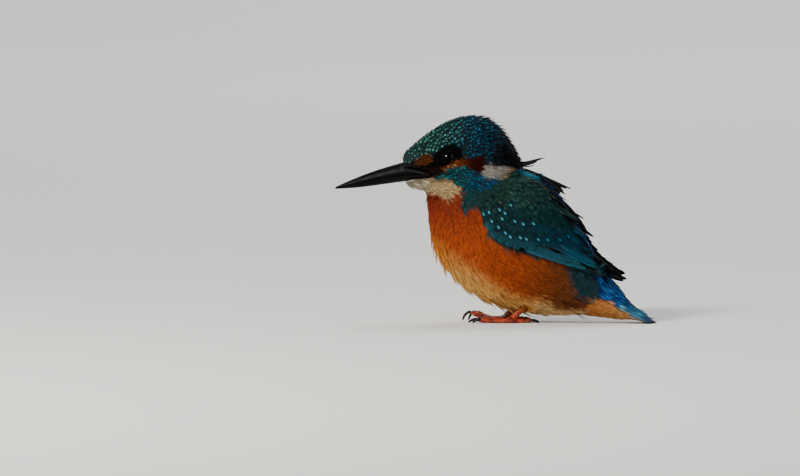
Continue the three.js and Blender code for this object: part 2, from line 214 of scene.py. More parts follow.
@dataclass(frozen=True)
class Patch:
    """One region's outline, its colours at root and tip, and its limits from the middle plane."""

    region: Region
    colours: str
    outline: str
    run: tuple[Pair, Pair] = ((0.0, 0.0), (1.0, 0.0))
    tip_end: Pair | None = None
    near: float = -1.0
    far: float = 99.0
    soft: float = 0.5

    def depth(self, places: np.ndarray, aside: np.ndarray) -> np.ndarray:
        """Measures how far inside the patch each place lies, from its flat place and its distance aside."""
        limits = np.minimum(aside - self.near, self.far - aside)
        return np.minimum(depth_in(corners_of(self.outline), places), limits)

    def paint(self, places: np.ndarray) -> tuple[np.ndarray, np.ndarray]:
        """Colours flat places.

        Args:
            places: columns of millimetres on the side plane.

        Returns:
            Linear colours of the feathers and of their tips.
        """
        codes = self.colours.split()
        first, last, tip_first, tip_last = codes if len(codes) == 4 else np.repeat(codes, 2)
        start, end = self.run
        return shade(first, last, places, start, end), shade(tip_first, tip_last, places, start, self.tip_end or end)


PATCHES: tuple[Patch, ...] = (
    Patch(Region.BREAST, "6e1f04 983a0c 86300a b45516", run=((-24, 58), (-22, 34)), tip_end=(-20, 28), soft=3,
          outline="-60,-9 90,-9 90,99 -60,99"),
    # Flank: rufous darkening towards the rear under the wing; the darkening is painted shade.
    Patch(Region.FLANK, "8c3507 56290d a84b10 744016", run=((4, 26), (38, 16)), soft=3,
          outline="-6,42 4,36 16,33 34,28 46,22 46,4 30,5 20,9 6,17 -6,27"),
    Patch(Region.BELLY, "a65c16 bf8840 cc8a34 e8bd76", run=((-27, 38), (-14, 19)), soft=4.6,
          outline="-40,44 -31.5,42 -28.5,38 -22,32.5 -13,25.5 -4,19 6,12.5 16,9.5 24,8 24,-5 -40,-5"),
    Patch(Region.VENT, "dcb880 c09860 f6dcae e4c088", soft=2,
          outline="19,9.5 30,5.5 45,5 46,-5 16,-5"),
    Patch(Region.UNDERTAIL, "ac6830 b87e44 c48a4c d4a872", run=((46, 8), (72, 1)), soft=0.15,
          outline="43.9,14.2 50,13.4 58,8.8 71.8,0.2 74,-6 43,-6 42,5"),
    Patch(Region.MANTLE, "16352f 122a32 284e48 1c424e", run=((6, 62), (32, 44)), soft=1,
          outline="-2,67.6 3,64 -3,60 -6.8,56.5 -6.8,49 -3.2,39.6 3,34.6 10.9,32.2 21.4,29.8 31.7,26.7 44,22.8 "
                  "52,21 64,22 70,80 14,84 9,76 4.5,73"),
    # Painted shadow at the bend of the wing.
    Patch(Region.MANTLE, "071413 091a18 0c211e 10282a", soft=2,
          outline="-4,61.5 3,60.5 2,56 -1.5,54.5 -6.5,55.5"),
    # Painted shade: a near-black band along the far edge of the back and mantle.
    Patch(Region.MANTLE, "04070b 03060a 080d14 060a10", soft=2.2,
          outline="12,77 17,70 24,63.5 29,55.5 34,46 41,38 50,30 60,24 64,30 48,55 30,75 14,84"),
    # Back stripe: azure at the front, fading to dark navy towards the rear as painted shade.
    Patch(Region.BACK, "146886 061626 2a8ca8 0a2a48", run=((15, 68.5), (22, 64)), tip_end=(23, 64), near=2.6, far=7.2,
          soft=0.8,
          outline="11,70.4 12.5,74 34,70 28,57 17.5,63.6"),
    # Back stripe further back: navy blue, darker than the real azure back; partly painted shade.
    Patch(Region.BACK, "0b3f78 10509c 1a74b4 2678cc", run=((24, 66), (46, 40)), far=2.2, soft=0.6,
          outline="24,60 24,84 60,60 60,30 42,36"),
    Patch(Region.DARK_FLANK, "0d262a 102a30 13363c 163c46", soft=1.8,
          outline="33.5,29 46,24 55,22 53,14 47.5,10.4 43,9.5 37.5,12 34.5,20"),
    Patch(Region.RUMP, "0d2f68 0b2c62 256cac 1c5c9a", run=((50, 22), (68, 8)), soft=0.25,
          outline="48.5,21.5 80,21.5 80,-4 72.5,-1.2 71.4,-0.5 57.6,7.5 50.5,11.5 49.5,15"),
    Patch(Region.RUMP, "24587c 2c6486 4d86a4 5c98b2", soft=0.3,
          outline="57,8.2 62.2,4.1 68,1.2 71.4,-0.8 75,-0.8 74.6,0.6 70,4 66,6.2 60.5,7.8"),
    Patch(Region.RUMP, "0a1828 10243c", soft=0.4,
          outline="72.8,-3 80,-3 80,2 74.6,1.6"),
    Patch(Region.RUMP, "1254a4 2a80dc", far=3, soft=0.4,
          outline="42,38 60,30 62,20 48,21"),
    Patch(Region.BREAST_SIDE, "0f3236 15302b 174a50 1f423a", run=((-15, 60), (-3, 57)), soft=1,
          outline="-16.2,65.4 -12,65.6 -7,65 -1,66.5 3,68 3,58 -3,54 -6.5,51.2 -9.5,53.6 -12,54.8 -14.8,50.8 "
                  "-17.2,54.2 -15.6,59"),
    Patch(Region.EYE_RING, "060808 0c1011", soft=0.4,
          outline="-52,64 -52,78 -43,77.4 -38,75.8 -32,74 -30,69 -34,66 -40,64"),
    Patch(Region.THROAT, "857d6a 826640 b4ac98 b49c70", run=((-42, 65), (-24, 60)), soft=0.6,
          outline="-45,66.8 -43,63 -36,60 -31.5,60.8 -28,59.8 -24.5,58.4 -21.5,58 -18.8,59.2 -17.6,61.5 -17.4,65 "
                  "-21.3,68 -27.8,69 -34,69.5 -40,68.2"),
    Patch(Region.MALAR, "083438 0a2840 1c7c84 17608a", run=((-20, 69), (-4, 65)), soft=0.6,
          outline="-29.4,70.4 -23.5,73.2 -18.9,74.6 -14.1,74.6 -9.6,72.4 -6.6,70.6 -3.8,68.6 1,66.8 -1.4,63.8 "
                  "-6.8,62.6 -11.4,62.9 -15.3,63.4 -18,64.4 -21.1,66.6 -25,67.4 -28.6,67.6"),
    Patch(Region.NECK_PATCH, "553a1a 6a665e 7c5c34 8e887e", run=((6, 68.6), (2, 70.6)),
          outline="-7.6,69.7 -8,72.3 -6.4,76 -0.8,76.6 3.8,76.6 7,76 8.6,73.8 8,71.8 6.2,69.8 4,68.3 1.6,67.6 "
                  "-0.8,67.6 -3.8,67.8 -5.9,68.7"),
    Patch(Region.CROWN, "10302e 05202a 5c9c90 146084", run=((-32, 86), (-10, 84)), tip_end=(-8, 84), soft=0.6,
          outline="-46,79 -43.8,75.6 -38,75.4 -30,76.5 -24,78 -17,76.8 -6.6,76.4 -4.4,75.2 -0.8,74.9 3.8,75.2 "
                  "8.3,74.8 10.8,73.8 14,84 6,99 -8,104 -32,100 -48,90"),
    # Painted shade: the side of the crown behind the eye and towards the nape, darkened to blue-black with dim spots.
    Patch(Region.CROWN, "021822 03121a 0a4c68 09344a", soft=2.2,
          outline="-20,84.6 -14,86.4 -6,87.6 1,86 7,81 11,75 8.3,73.8 3.8,75.2 -0.8,74.9 -4.4,75.2 -6.6,76.4 "
                  "-15,77 -15.2,79.6 -16.8,82.4"),
    Patch(Region.EYE_RING, "020303 050606",
          outline="-40.2,75.6 -37.6,73.4 -33,73 -32.4,71.5 -32.4,69 -28.6,69.4 -27.4,72 -23.8,73 -21.1,74.8 "
                  "-18.1,75.6 -15.4,77.2 -15.2,79.6 -16.8,82.4 -20.6,84.4 -24,83.2 -27,81.8 -29.6,80 -31,77.6 "
                  "-34,75.6 -38.4,76.6"),
    # Ear coverts: dark rufous, near black towards the rear; the darkness is painted shade.
    Patch(Region.CHEEK, "581f07 200601 84451c 340d03", run=((-22, 74.4), (-11, 74)), soft=0.6,
          outline="-30.4,71.2 -27.4,72.6 -23.8,73.8 -21.1,75.6 -18.1,76.6 -15.9,77.8 -11.7,78 -8,78.6 -3.8,78.2 "
                  "-4.4,75.9 -5.3,73.2 -7.1,70.2 -8.6,70.3 -11.4,72.1 -14.1,73.2 -17.4,73.6 -21.1,72.6 -25,71 "
                  "-29.5,69.6"),
    Patch(Region.CHEEK, "6c4828 b4905c", soft=0.3,
          outline="-25.8,71.5 -20.8,74.2 -18.2,75.4 -18.4,74.4 -21.8,72.8 -25.4,70.9"),
    Patch(Region.EYE_RING, "140804 2c1408", soft=0.6,
          outline="-33,72.8 -28,73 -24.8,72.3 -23.4,71.2 -25.6,69.8 -29.5,68.7 -33,69"),
    Patch(Region.LORE, "280f05 623214",
          outline="-38.6,74.6 -37.6,77.3 -35.8,79.1 -32.3,79.4 -29.5,78.3 -29.9,76.1 -32.3,74.3 -35.8,73.7"),
)




class Markings:
    """Colours of the whole coat, with painted shade at the nape, the same for the skin and the feathers on it."""

    # Painted shade: a factor from white to dark grey that darkens the crown towards the nape, above crown_from.
    nape = ("ffffff", "3a4046", (-3, 88), (7, 82))
    crown_from = 74

    @staticmethod
    def depths(points: np.ndarray) -> tuple[np.ndarray, list[np.ndarray]]:
        """Measures how deep places lie in every patch, with frayed borders.

        Args:
            points: places in metres.

        Returns:
            The flat places, and one array of depths to a patch.
        """
        places, aside = VIEW.flatten(points), np.abs(points[:, 1]) / MM
        frayed = places + np.stack([ripple(points, 2.4, 1.0), ripple(points, 2.1, 5.0)], axis=1) * 0.45
        return places, [patch.depth(frayed, aside) for patch in PATCHES]

    def sort(self, points: np.ndarray) -> np.ndarray:
        """Finds the uppermost patch at every place.

        Args:
            points: places in metres.

        Returns:
            Its number in PATCHES.
        """
        found = np.zeros(len(points), dtype=int)
        for number, depth in enumerate(self.depths(points)[1]):
            found[depth > 0] = number
        return found

    def paint(self, points: np.ndarray) -> tuple[np.ndarray, np.ndarray]:
        """Gives every place the tone of its feathers and of their tips.

        Args:
            points: places in metres.

        Returns:
            Linear colours of the feathers and of their tips.
        """
        places, depths = self.depths(points)
        tone, tip = PATCHES[0].paint(places)
        for patch, depth in zip(PATCHES[1:], depths[1:]):
            cover = smooth(-patch.soft, patch.soft, depth)[:, None]
            own_tone, own_tip = patch.paint(places)
            tone, tip = tone * (1 - cover) + own_tone * cover, tip * (1 - cover) + own_tip * cover
        # Painted shade darkens the rear of the crown and the nape.
        first, last, start, end = self.nape
        shaded = shade(first, last, places, start, end)
        crown = (places[:, 1] > self.crown_from)[:, None]
        return np.where(crown, tone * shaded, tone), np.where(crown, tip * shaded, tip)


# ---- The lie of the coat ------------------------------------------------------------------------

# Each row is a place on the bird in millimetres and the way that the feathers point there.
GUIDES = np.array([
    (-43, 0, 80, 0.35, 0, 0.94), (-36, 0, 87, 0.7, 0, 0.7), (-28, 0, 92, 0.85, 0, 0.5), (-15, 0, 98, 1, 0, 0.1),
    (-4, 0, 97, 0.88, 0, -0.45), (5, 0, 89, 0.6, 0, -0.8), (10, 0, 79, 0.55, 0, -0.85),
    (-40, 6, 77, 0.9, 0.3, 0.35), (-33, 8, 84, 0.85, 0.2, 0.42), (-24, 10, 86, 0.95, 0.1, 0.22),
    (-12, 13, 86, 0.98, 0, -0.15), (0, 13, 85, 0.85, -0.1, -0.5), (6, 10, 79, 0.75, -0.2, -0.6),
    (-34, 8, 76, 0.96, 0.2, 0.1), (-26, 11, 74, 0.97, 0.2, -0.05), (-14, 14, 75, 0.96, 0, -0.25),
    (-4, 15, 73, 0.97, 0, -0.1), (5, 13, 71, 0.98, 0, 0.05), (-26, 11, 69, 0.93, 0.1, -0.3),
    (-14, 14, 66, 0.85, 0.1, -0.5), (-5, 16, 61, 0.7, 0, -0.7), (-40, 0, 63, 0.96, 0, -0.25),
    (-34, 4, 62, 0.9, 0.1, -0.45), (-26, 8, 60, 0.75, 0, -0.65), (-33, 0, 52, -0.05, 0, -1),
    (-32, 0, 42, 0.08, 0, -1), (-28, 0, 31, 0.4, 0, -0.92), (-20, 0, 20, 0.7, 0, -0.7), (-8, 0, 11, 0.87, 0, -0.48),
    (8, 0, 5, 0.97, 0, -0.2), (26, 0, 2, 1, 0, -0.05), (44, 0, 2, 1, 0, -0.08), (64, 0, 1, 1, 0, -0.05),
    (-24, 14, 50, 0.22, 0, -0.97), (-16, 18, 44, 0.42, 0, -0.9), (-20, 16, 30, 0.55, 0, -0.83),
    (-8, 20, 34, 0.62, 0, -0.78), (-6, 18, 20, 0.74, 0, -0.67), (8, 19, 24, 0.82, 0, -0.57),
    (12, 15, 12, 0.9, 0, -0.42), (24, 15, 18, 0.9, 0, -0.45), (38, 10, 12, 0.93, 0, -0.36),
    (52, 8, 8, 0.94, 0, -0.34), (64, 7, 4, 0.93, 0, -0.34), (14, 0, 74, 0.8, 0, -0.55), (24, 0, 68, 0.7, 0, -0.7),
    (34, 0, 57, 0.62, 0, -0.78), (44, 0, 40, 0.6, 0, -0.8), (52, 0, 27, 0.62, 0, -0.78),
    (64, 0, 11, 0.68, 0, -0.72), (12, 14, 67, 0.6, 0.1, -0.8), (22, 14, 58, 0.6, 0.1, -0.8),
    (32, 12, 48, 0.62, 0, -0.78), (42, 10, 36, 0.66, 0, -0.75), (0, 21, 54, 0.42, 0, -0.9),
    (6, 23, 46, 0.55, 0, -0.83), (18, 21, 42, 0.66, 0, -0.75), (32, 17, 34, 0.82, 0, -0.56),
    (46, 9, 16, 0.75, 0, -0.66),
])




class LieField:
    """The direction that feathers take all over the bird, drawn smoothly through the guides."""

    reach = 1.5
    pull = 3.2

    def __init__(self) -> None:
        """Mirrors the guides on to the other flank."""
        places, lies = GUIDES[:, :3] * MM, unit(GUIDES[:, 3:])
        self.places = np.concatenate([places, places * OTHER_FLANK])
        self.lies = np.concatenate([lies, lies * OTHER_FLANK])

    def at(self, points: np.ndarray, normals: np.ndarray) -> np.ndarray:
        """Finds the lie of the coat.

        Args:
            points: places in metres.
            normals: the surface's outward directions there.

        Returns:
            Unit directions in the surface.
        """
        gaps = np.linalg.norm(points[:, None, :] - self.places[None, :, :], axis=2)
        weights = 1.0 / (gaps / MM + self.reach) ** self.pull
        lie = (weights / weights.sum(axis=1, keepdims=True)) @ self.lies
        return unit(lie - normals * np.sum(lie * normals, axis=1, keepdims=True))


# ---- Node boards --------------------------------------------------------------------------------


class Board:
    """A node tree with short ways to add to it."""

    def __init__(self, tree: bpy.types.NodeTree) -> None:
        """Takes the tree to add to."""
        self.tree = tree

    def add(self, kind: str, inputs: dict[str | int, object] | None = None, **settings: object) -> Node:
        """Adds a node.

        Args:
            kind: the node's type name.
            inputs: a socket or a plain value for each input, by name or number.
            settings: options of the node.

        Returns:
            The new node.
        """
        node = self.tree.nodes.new(kind)
        for name, value in settings.items():
            setattr(node, name, value)
        self.fill(node, inputs or {})
        return node

    def fill(self, node: Node, inputs: dict[str | int, object]) -> None:
        """Links a socket to each named input of a node, or sets a plain value there.

        Args:
            node: the node.
            inputs: a socket or a plain value for each input, by name or number.
        """
        for key, value in inputs.items():
            if isinstance(value, bpy.types.NodeSocket):
                self.tree.links.new(value, node.inputs[key])
            else:
                node.inputs[key].default_value = value

    def math(self, operation: str, *values: object) -> Socket:
        """Adds a scalar sum of numbers or sockets."""
        return self.add("ShaderNodeMath", dict(enumerate(values)), operation=operation).outputs[0]

    def times(self, first: object, second: object) -> Socket:
        """Multiplies two numbers."""
        return self.math("MULTIPLY", first, second)

    def minus(self, first: object, second: object) -> Socket:
        """Takes the second number from the first."""
        return self.math("SUBTRACT", first, second)

    def plus(self, first: object, second: object) -> Socket:
        """Adds two numbers."""
        return self.math("ADD", first, second)

    def vector(self, operation: str, first: object, second: object) -> Socket:
        """Adds a vector sum, where a scale takes a number as its second part."""
        number = 3 if operation == "SCALE" else 1
        return self.add("ShaderNodeVectorMath", {0: first, number: second}, operation=operation).outputs[0]

    def ease(self, value: object, low: float, high: float, first: object = 0.0, last: object = 1.0) -> Socket:
        """Eases a number between two limits, where it turns into the first and the last value."""
        return self.add("ShaderNodeMapRange", {0: value, 1: low, 2: high, 3: first, 4: last},
                        interpolation_type="SMOOTHSTEP").outputs[0]

    def mix(self, share: object, first: object, last: object) -> Socket:
        """Mixes two colours, the last one by its share."""
        first, last = ((*linear(c), 1) if isinstance(c, str) else c for c in (first, last))
        return self.add("ShaderNodeMix", {0: share, 6: first, 7: last}, data_type="RGBA").outputs[2]

    def place(self) -> Socket:
        """Reads the place on the object."""
        return self.add("ShaderNodeTexCoord").outputs["Object"]

    def attribute(self, name: str, output: str = "Color") -> Socket:
        """Reads an attribute of the mesh."""
        return self.add("ShaderNodeAttribute", attribute_name=name).outputs[output]

    def noise(self, place: Socket, scale: float, detail: float) -> Socket:
        """Adds a soft random pattern."""
        return self.add("ShaderNodeTexNoise", {"Vector": place, "Scale": scale, "Detail": detail}).outputs[0]

    def bump(self, height: Socket, strength: float, distance: float, invert: bool = False) -> Socket:
        """Raises the surface by a height, as far as a distance in metres."""
        return self.add("ShaderNodeBump", {"Strength": strength, "Distance": distance, "Height": height},
                        invert=invert).outputs[0]


class VaneDetail:
    """The shared effect that draws shaft, barbs and the spot of one feather."""

    name = "Vane Detail"
    inputs: dict[str, tuple[str, object]] = {
        "Tone": ("NodeSocketColor", (0.5, 0.5, 0.5, 1)), "Tip": ("NodeSocketColor", (0.5, 0.5, 0.5, 1)),
        "Vane": ("NodeSocketVector", (0, 0, 0)), "Spot": ("NodeSocketVector", (0.85, 0.1, 0.5)),
        "Barbs": ("NodeSocketFloat", 46.0), "Contrast": ("NodeSocketFloat", 0.2),
        "Root": ("NodeSocketFloat", 0.4), "Rim": ("NodeSocketFloat", 0.8)}
    outputs = {"Color": "NodeSocketColor", "Height": "NodeSocketFloat"}

    def group(self) -> bpy.types.NodeTree:
        """Builds the node group at its first use.

        Returns:
            The group.
        """
        if self.name in bpy.data.node_groups:
            return bpy.data.node_groups[self.name]
        tree = bpy.data.node_groups.new(self.name, "ShaderNodeTree")
        for title, (kind, value) in self.inputs.items():
            tree.interface.new_socket(title, in_out="INPUT", socket_type=kind).default_value = value
        for title, kind in self.outputs.items():
            tree.interface.new_socket(title, in_out="OUTPUT", socket_type=kind)
        board = Board(tree)
        self.wire(board, board.add("NodeGroupInput").outputs, board.add("NodeGroupOutput"))
        return tree

    @staticmethod
    def wire(board: Board, given: dict[str, Socket], end: Node) -> None:
        """Fills the group.

        Args:
            board: the group's nodes.
            given: its inputs.
            end: its outputs.
        """
        vane = board.add("ShaderNodeSeparateXYZ", {0: given["Vane"]})
        spot = board.add("ShaderNodeSeparateXYZ", {0: given["Spot"]})
        aside = board.math("ABSOLUTE", board.minus(board.times(vane.outputs[0], 2.0), 1.0))
        along = vane.outputs[1]
        rise = board.math("DIVIDE", board.minus(along, spot.outputs[0]), spot.outputs[1])
        reach = board.math("DIVIDE", aside, spot.outputs[2])
        gap = board.math("SQRT", board.plus(board.times(rise, rise), board.times(reach, reach)))
        mark = board.ease(gap, 0.15, 1.3, 1.0, 0.0)
        slant = board.minus(board.times(along, given["Barbs"]), board.times(aside, board.times(given["Barbs"], 0.35)))
        barb = board.plus(board.times(board.math("SINE", slant), 0.5), 0.5)
        shaft = board.ease(aside, 0.03, 0.12, 1.0, 0.0)
        # Darker towards the root: partly the feather's own darker base, partly painted shade under the feathers that
        # overlap it.
        root = board.ease(along, 0.0, 0.75, given["Root"], 1.0)
        rim = board.ease(aside, 0.55, 1.0, 1.0, given["Rim"])
        fine = board.minus(1.0, board.times(barb, given["Contrast"]))
        spotted = board.mix(mark, given["Tone"], given["Tip"])
        board.fill(end, {"Color": board.vector("SCALE", spotted, board.times(board.times(root, rim), fine)),
                         "Height": board.plus(board.times(barb, 0.6), shaft)})


# ---- Finishes -----------------------------------------------------------------------------------


class Finish:
    """A surface whose material is built once and then shared."""

    name: str
    made: ClassVar[dict["Finish", bpy.types.Material]] = {}

    def material(self) -> bpy.types.Material:
        """Builds the material at its first use.

        Returns:
            The material.
        """
        if self not in Finish.made:
            material = bpy.data.materials.new(f"{self.name}_finish")
            material.use_nodes = True
            board = Board(material.node_tree)
            board.fill(material.node_tree.nodes["Principled BSDF"], self.dress(board))
            Finish.made[self] = material
        return Finish.made[self]

    def dress(self, board: Board) -> dict[str, object]:
        """Wires the surface's nodes and gives what each input of the main shader takes."""
        raise NotImplementedError


@dataclass(frozen=True)
class FeatherFinish(Finish):
    """Feather vanes: a tone with a spot or a brighter tip, barbs, and a darker root, partly its own colour and partly
    painted shade from the feathers over it.
    """

    name: str
    roughness: float
    specular: float
    contrast: float
    # How dark the root gets: partly painted shade.
    root: float
    rim: float
    sheen: float = 0.0
    barbs: float = 46.0
    bump: float = 0.35

    def dress(self, board: Board) -> dict[str, object]:
        """Draws each vane from its own colours, its spot and its place on the feather.

        Args:
            board: the material's nodes.

        Returns:
            What each input of the main shader takes.
        """
        detail = board.add("ShaderNodeGroup", node_tree=VaneDetail().group())
        board.fill(detail, {
            "Tone": board.attribute("tone"), "Tip": board.attribute("tip"), "Spot": board.attribute("spot", "Vector"),
            "Vane": board.add("ShaderNodeUVMap", uv_map="vane").outputs[0], "Barbs": self.barbs,
            "Contrast": self.contrast, "Root": self.root, "Rim": self.rim})
        height = board.bump(detail.outputs["Height"], self.bump, 0.0001)
        return {"Base Color": detail.outputs["Color"], "Normal": height,
                "Roughness": self.roughness, "Specular IOR Level": self.specular, "Sheen Weight": self.sheen,
                "Sheen Roughness": 0.4}


@dataclass(frozen=True)
class SkinFinish(Finish):
    """Down and skin between the feathers, in the colours of the coat, darkened as painted shade."""

    name: str = "skin_down"

    def dress(self, board: Board) -> dict[str, object]:
        """Darkens the coat's tone unevenly: painted shade where the skin shows between the feathers.

        Args:
            board: the material's nodes.

        Returns:
            What each input of the main shader takes.
        """
        down = board.noise(board.place(), 1800.0, 4.0)
        # Painted shade: the coat's tone darkened to between 0.45 and 0.8.
        colour = board.vector("SCALE", board.attribute("tone"), board.ease(down, 0.3, 0.7, 0.45, 0.8))
        return {"Base Color": colour, "Normal": board.bump(down, 0.6, 0.0003), "Roughness": 0.8,
                "Specular IOR Level": 0.2}


@dataclass(frozen=True)
class HornFinish(Finish):
    """Horn of the bill and claws: near black, with fine growth lines and a warmer base."""

    name: str
    tone: str
    base: str
    base_run: Pair
    roughness: float = 0.4
    grain: float = 900.0
    specular: float = 0.13

    def dress(self, board: Board) -> dict[str, object]:
        """Streaks the horn along its length and warms it towards its base.

        Args:
            board: the material's nodes.

        Returns:
            What each input of the main shader takes.
        """
        place = board.place()
        along = board.add("ShaderNodeSeparateXYZ", {0: place}).outputs[0]
        stretch = board.add("ShaderNodeMapping", {"Vector": place, "Scale": (0.12, 1.0, 1.0)})
        grain, worn = board.noise(stretch.outputs[0], self.grain, 5.0), board.noise(place, 160.0, 3.0)
        warm = board.times(board.ease(along, self.base_run[0] * MM, self.base_run[1] * MM),
                           board.ease(worn, 0.3, 0.7, 0.55, 1.0))
        streaked = board.vector("SCALE", board.mix(warm, self.tone, self.base), board.ease(grain, 0.3, 0.75, 0.75, 1.4))
        return {"Base Color": streaked, "Normal": board.bump(grain, 0.35, 0.00015),
                "Roughness": board.ease(worn, 0.3, 0.7, self.roughness - 0.08, self.roughness + 0.1),
                "Specular IOR Level": self.specular}


@dataclass(frozen=True)
class LegFinish(Finish):
    """Scaly red skin of legs and toes, darker in the creases and paler on the scutes."""

    name: str = "leg_skin"

    def dress(self, board: Board) -> dict[str, object]:
        """Blotches the red, and darkens the edges of the small plates and the creases.

        Args:
            board: the material's nodes.

        Returns:
            What each input of the main shader takes.
        """
        place = board.place()
        plates = board.add("ShaderNodeTexVoronoi", {"Vector": place, "Scale": 1900.0}).outputs[0]
        red = board.mix(board.ease(board.noise(place, 420.0, 4.0), 0.35, 0.65), "601807", "ac3c13")
        dark = board.times(board.ease(plates, 0.2, 0.75, 1.0, 0.72),
                           board.ease(board.attribute("crease", "Fac"), 0.0, 1.0, 1.0, 0.45))
        return {"Base Color": board.vector("SCALE", red, dark), "Normal": board.bump(plates, 0.5, 0.0001, invert=True),
                "Roughness": 0.38, "Specular IOR Level": 0.35}


@dataclass(frozen=True)
class EyeFinish(Finish):
    """A wet dark brown eye with a black pupil."""

    name: str = "eye"

    def dress(self, board: Board) -> dict[str, object]:
        """Rings the pupil with the iris, and the iris with the white's dark edge.

        Args:
            board: the material's nodes.

        Returns:
            What each input of the main shader takes.
        """
        ring = board.attribute("iris", "Fac")
        brown = board.mix(board.noise(board.place(), 2600.0, 4.0), "020101", "060302")
        iris = board.mix(board.ease(ring, 0.46, 0.52), (0.001, 0.001, 0.001, 1), brown)
        return {"Base Color": board.mix(board.ease(ring, 0.86, 0.98), iris, "080606"), "Roughness": 0.3,
                "Specular IOR Level": 0.0, "Coat Weight": 0.8, "Coat IOR": 1.1, "Coat Roughness": 0.03}


@dataclass(frozen=True)
class StudioFinish(Finish):
    """Matt paper of the floor and backdrop."""

    name: str = "studio_paper"

    def dress(self, board: Board) -> dict[str, object]:
        """Grains the paper very lightly."""
        light = board.ease(board.noise(board.place(), 700.0, 3.0), 0.3, 0.7, 0.985, 1.015)
        return {"Base Color": board.vector("SCALE", linear("efeeea"), light), "Roughness": 0.9,
                "Specular IOR Level": 0.1}


SOFT = FeatherFinish("soft_feathers", 0.7, 0.12, 0.1, 0.7, 0.92, sheen=0.04)
GLOSSY = FeatherFinish("glossy_feathers", 0.5, 0.06, 0.22, 0.4, 0.7)
FACE = FeatherFinish("face_feathers", 0.7, 0.02, 0.12, 0.6, 0.85)
DOWN = FeatherFinish("down_feathers", 0.75, 0.08, 0.06, 0.88, 0.96, sheen=0.05, bump=0.15)
QUILL = FeatherFinish("quill_feathers", 0.6, 0.03, 0.3, 0.7, 0.75, barbs=150.0, bump=0.5)


# ---- Mesh drafting ------------------------------------------------------------------------------


def read(data: bpy.types.bpy_prop_collection, what: str, width: int = 3, kind: type = float) -> np.ndarray:
    """Reads one property of every element of a mesh.

    Args:
        data: the mesh's elements.
        what: the property's name.
        width: how many numbers an element has.
        kind: their type.

    Returns:
        One row to an element, or plain numbers for a width of one.
    """
    rows = np.zeros(len(data) * width, dtype=kind)
    data.foreach_get(what, rows)
    return rows.reshape(-1, width) if width > 1 else rows


def store(mesh: bpy.types.Mesh, title: str, kind: str, rows: np.ndarray, domain: str = "POINT") -> None:
    """Stores an attribute on a mesh.

    Args:
        mesh: the mesh.
        title: the attribute's name.
        kind: its data type.
        rows: its values, colours without their alpha.
        domain: what it is stored on.
    """
    if kind == "FLOAT_COLOR":
        rows = np.hstack([rows, np.ones((len(rows), 1))])
    what = {"FLOAT_COLOR": "color", "FLOAT_VECTOR": "vector"}.get(kind, "value")
    mesh.attributes.new(title, kind, domain).data.foreach_set(what, np.ascontiguousarray(rows).ravel())


def soften_shading(mesh: bpy.types.Mesh) -> bpy.types.Mesh:
    """Shades every face of a mesh smoothly and gives the mesh back."""
    mesh.polygons.foreach_set("use_smooth", [True] * len(mesh.polygons))
    return mesh


@dataclass
class Draft:
    """Points and faces of one piece, with a vane coordinate and colours for each point."""

    points: list[np.ndarray] = field(default_factory=list)
    faces: list[list[int]] = field(default_factory=list)
    vanes: list[Pair] = field(default_factory=list)
    tones: list[Triple] = field(default_factory=list)
    tips: list[Triple] = field(default_factory=list)
    spots: list[Triple] = field(default_factory=list)
    places: list[Pair] = field(default_factory=list)
    sharp: set[tuple[int, int]] = field(default_factory=set)

    def loft(self, rings: Sequence[np.ndarray], cap: bool = True) -> None:
        """Joins equal rings of points into a tube.

        Args:
            rings: the sections, each with the same number of points.
            cap: closes both ends with one face each; otherwise the last ring meets the first.
        """
        first, sides = len(self.points), len(rings[0])
        for ring in rings:
            self.points.extend(ring)
        for i in range(len(rings) - 1):
            for j in range(sides):
                a, b = first + i * sides + j, first + i * sides + (j + 1) % sides
                self.faces.append([a, b, b + sides, a + sides])
        last = first + (len(rings) - 1) * sides
        if cap:
            self.faces += [[first + j for j in reversed(range(sides))], [last + j for j in range(sides)]]
        else:
            self.faces += [[last + j, last + (j + 1) % sides, first + (j + 1) % sides, first + j]
                           for j in range(sides)]

    def mirrored(self) -> "Draft":
        """Gives the same feathers on the other side of the bird."""
        return replace(self, points=[p * OTHER_FLANK for p in self.points], faces=[f[::-1] for f in self.faces])

    def mesh(self, name: str) -> bpy.types.Mesh:
        """Turns the draft into a mesh with outward faces.

        Args:
            name: the mesh's name.

        Returns:
            The mesh, with its vane map where the draft has one.
        """
        mesh = bpy.data.meshes.new(name)
        mesh.from_pydata([tuple(p) for p in self.points], [], self.faces)
        shell = bmesh.new()
        shell.from_mesh(mesh)
        bmesh.ops.recalc_face_normals(shell, faces=shell.faces)
        shell.to_mesh(mesh)
        shell.free()
        corners = read(mesh.loops, "vertex_index", 1, np.int32)
        if self.vanes:
            vanes = np.array(self.vanes)[corners]
            mesh.uv_layers.new(name="vane").data.foreach_set("uv", vanes.ravel())
        if self.places:
            baked = np.array(self.places)[corners] + (vanes - 0.5) * BAKE_PATCH
            mesh.uv_layers.new(name="OFBake").data.foreach_set("uv", baked.ravel())
            store(mesh, "tone", "FLOAT_COLOR", self.tones)
            store(mesh, "tip", "FLOAT_COLOR", self.tips)
            store(mesh, "spot", "FLOAT_VECTOR", self.spots)
        if self.sharp:
            flags = [tuple(sorted(edge.vertices)) in self.sharp for edge in mesh.edges]
            store(mesh, "sharp_edge", "BOOLEAN", np.array(flags), "EDGE")
        return soften_shading(mesh)


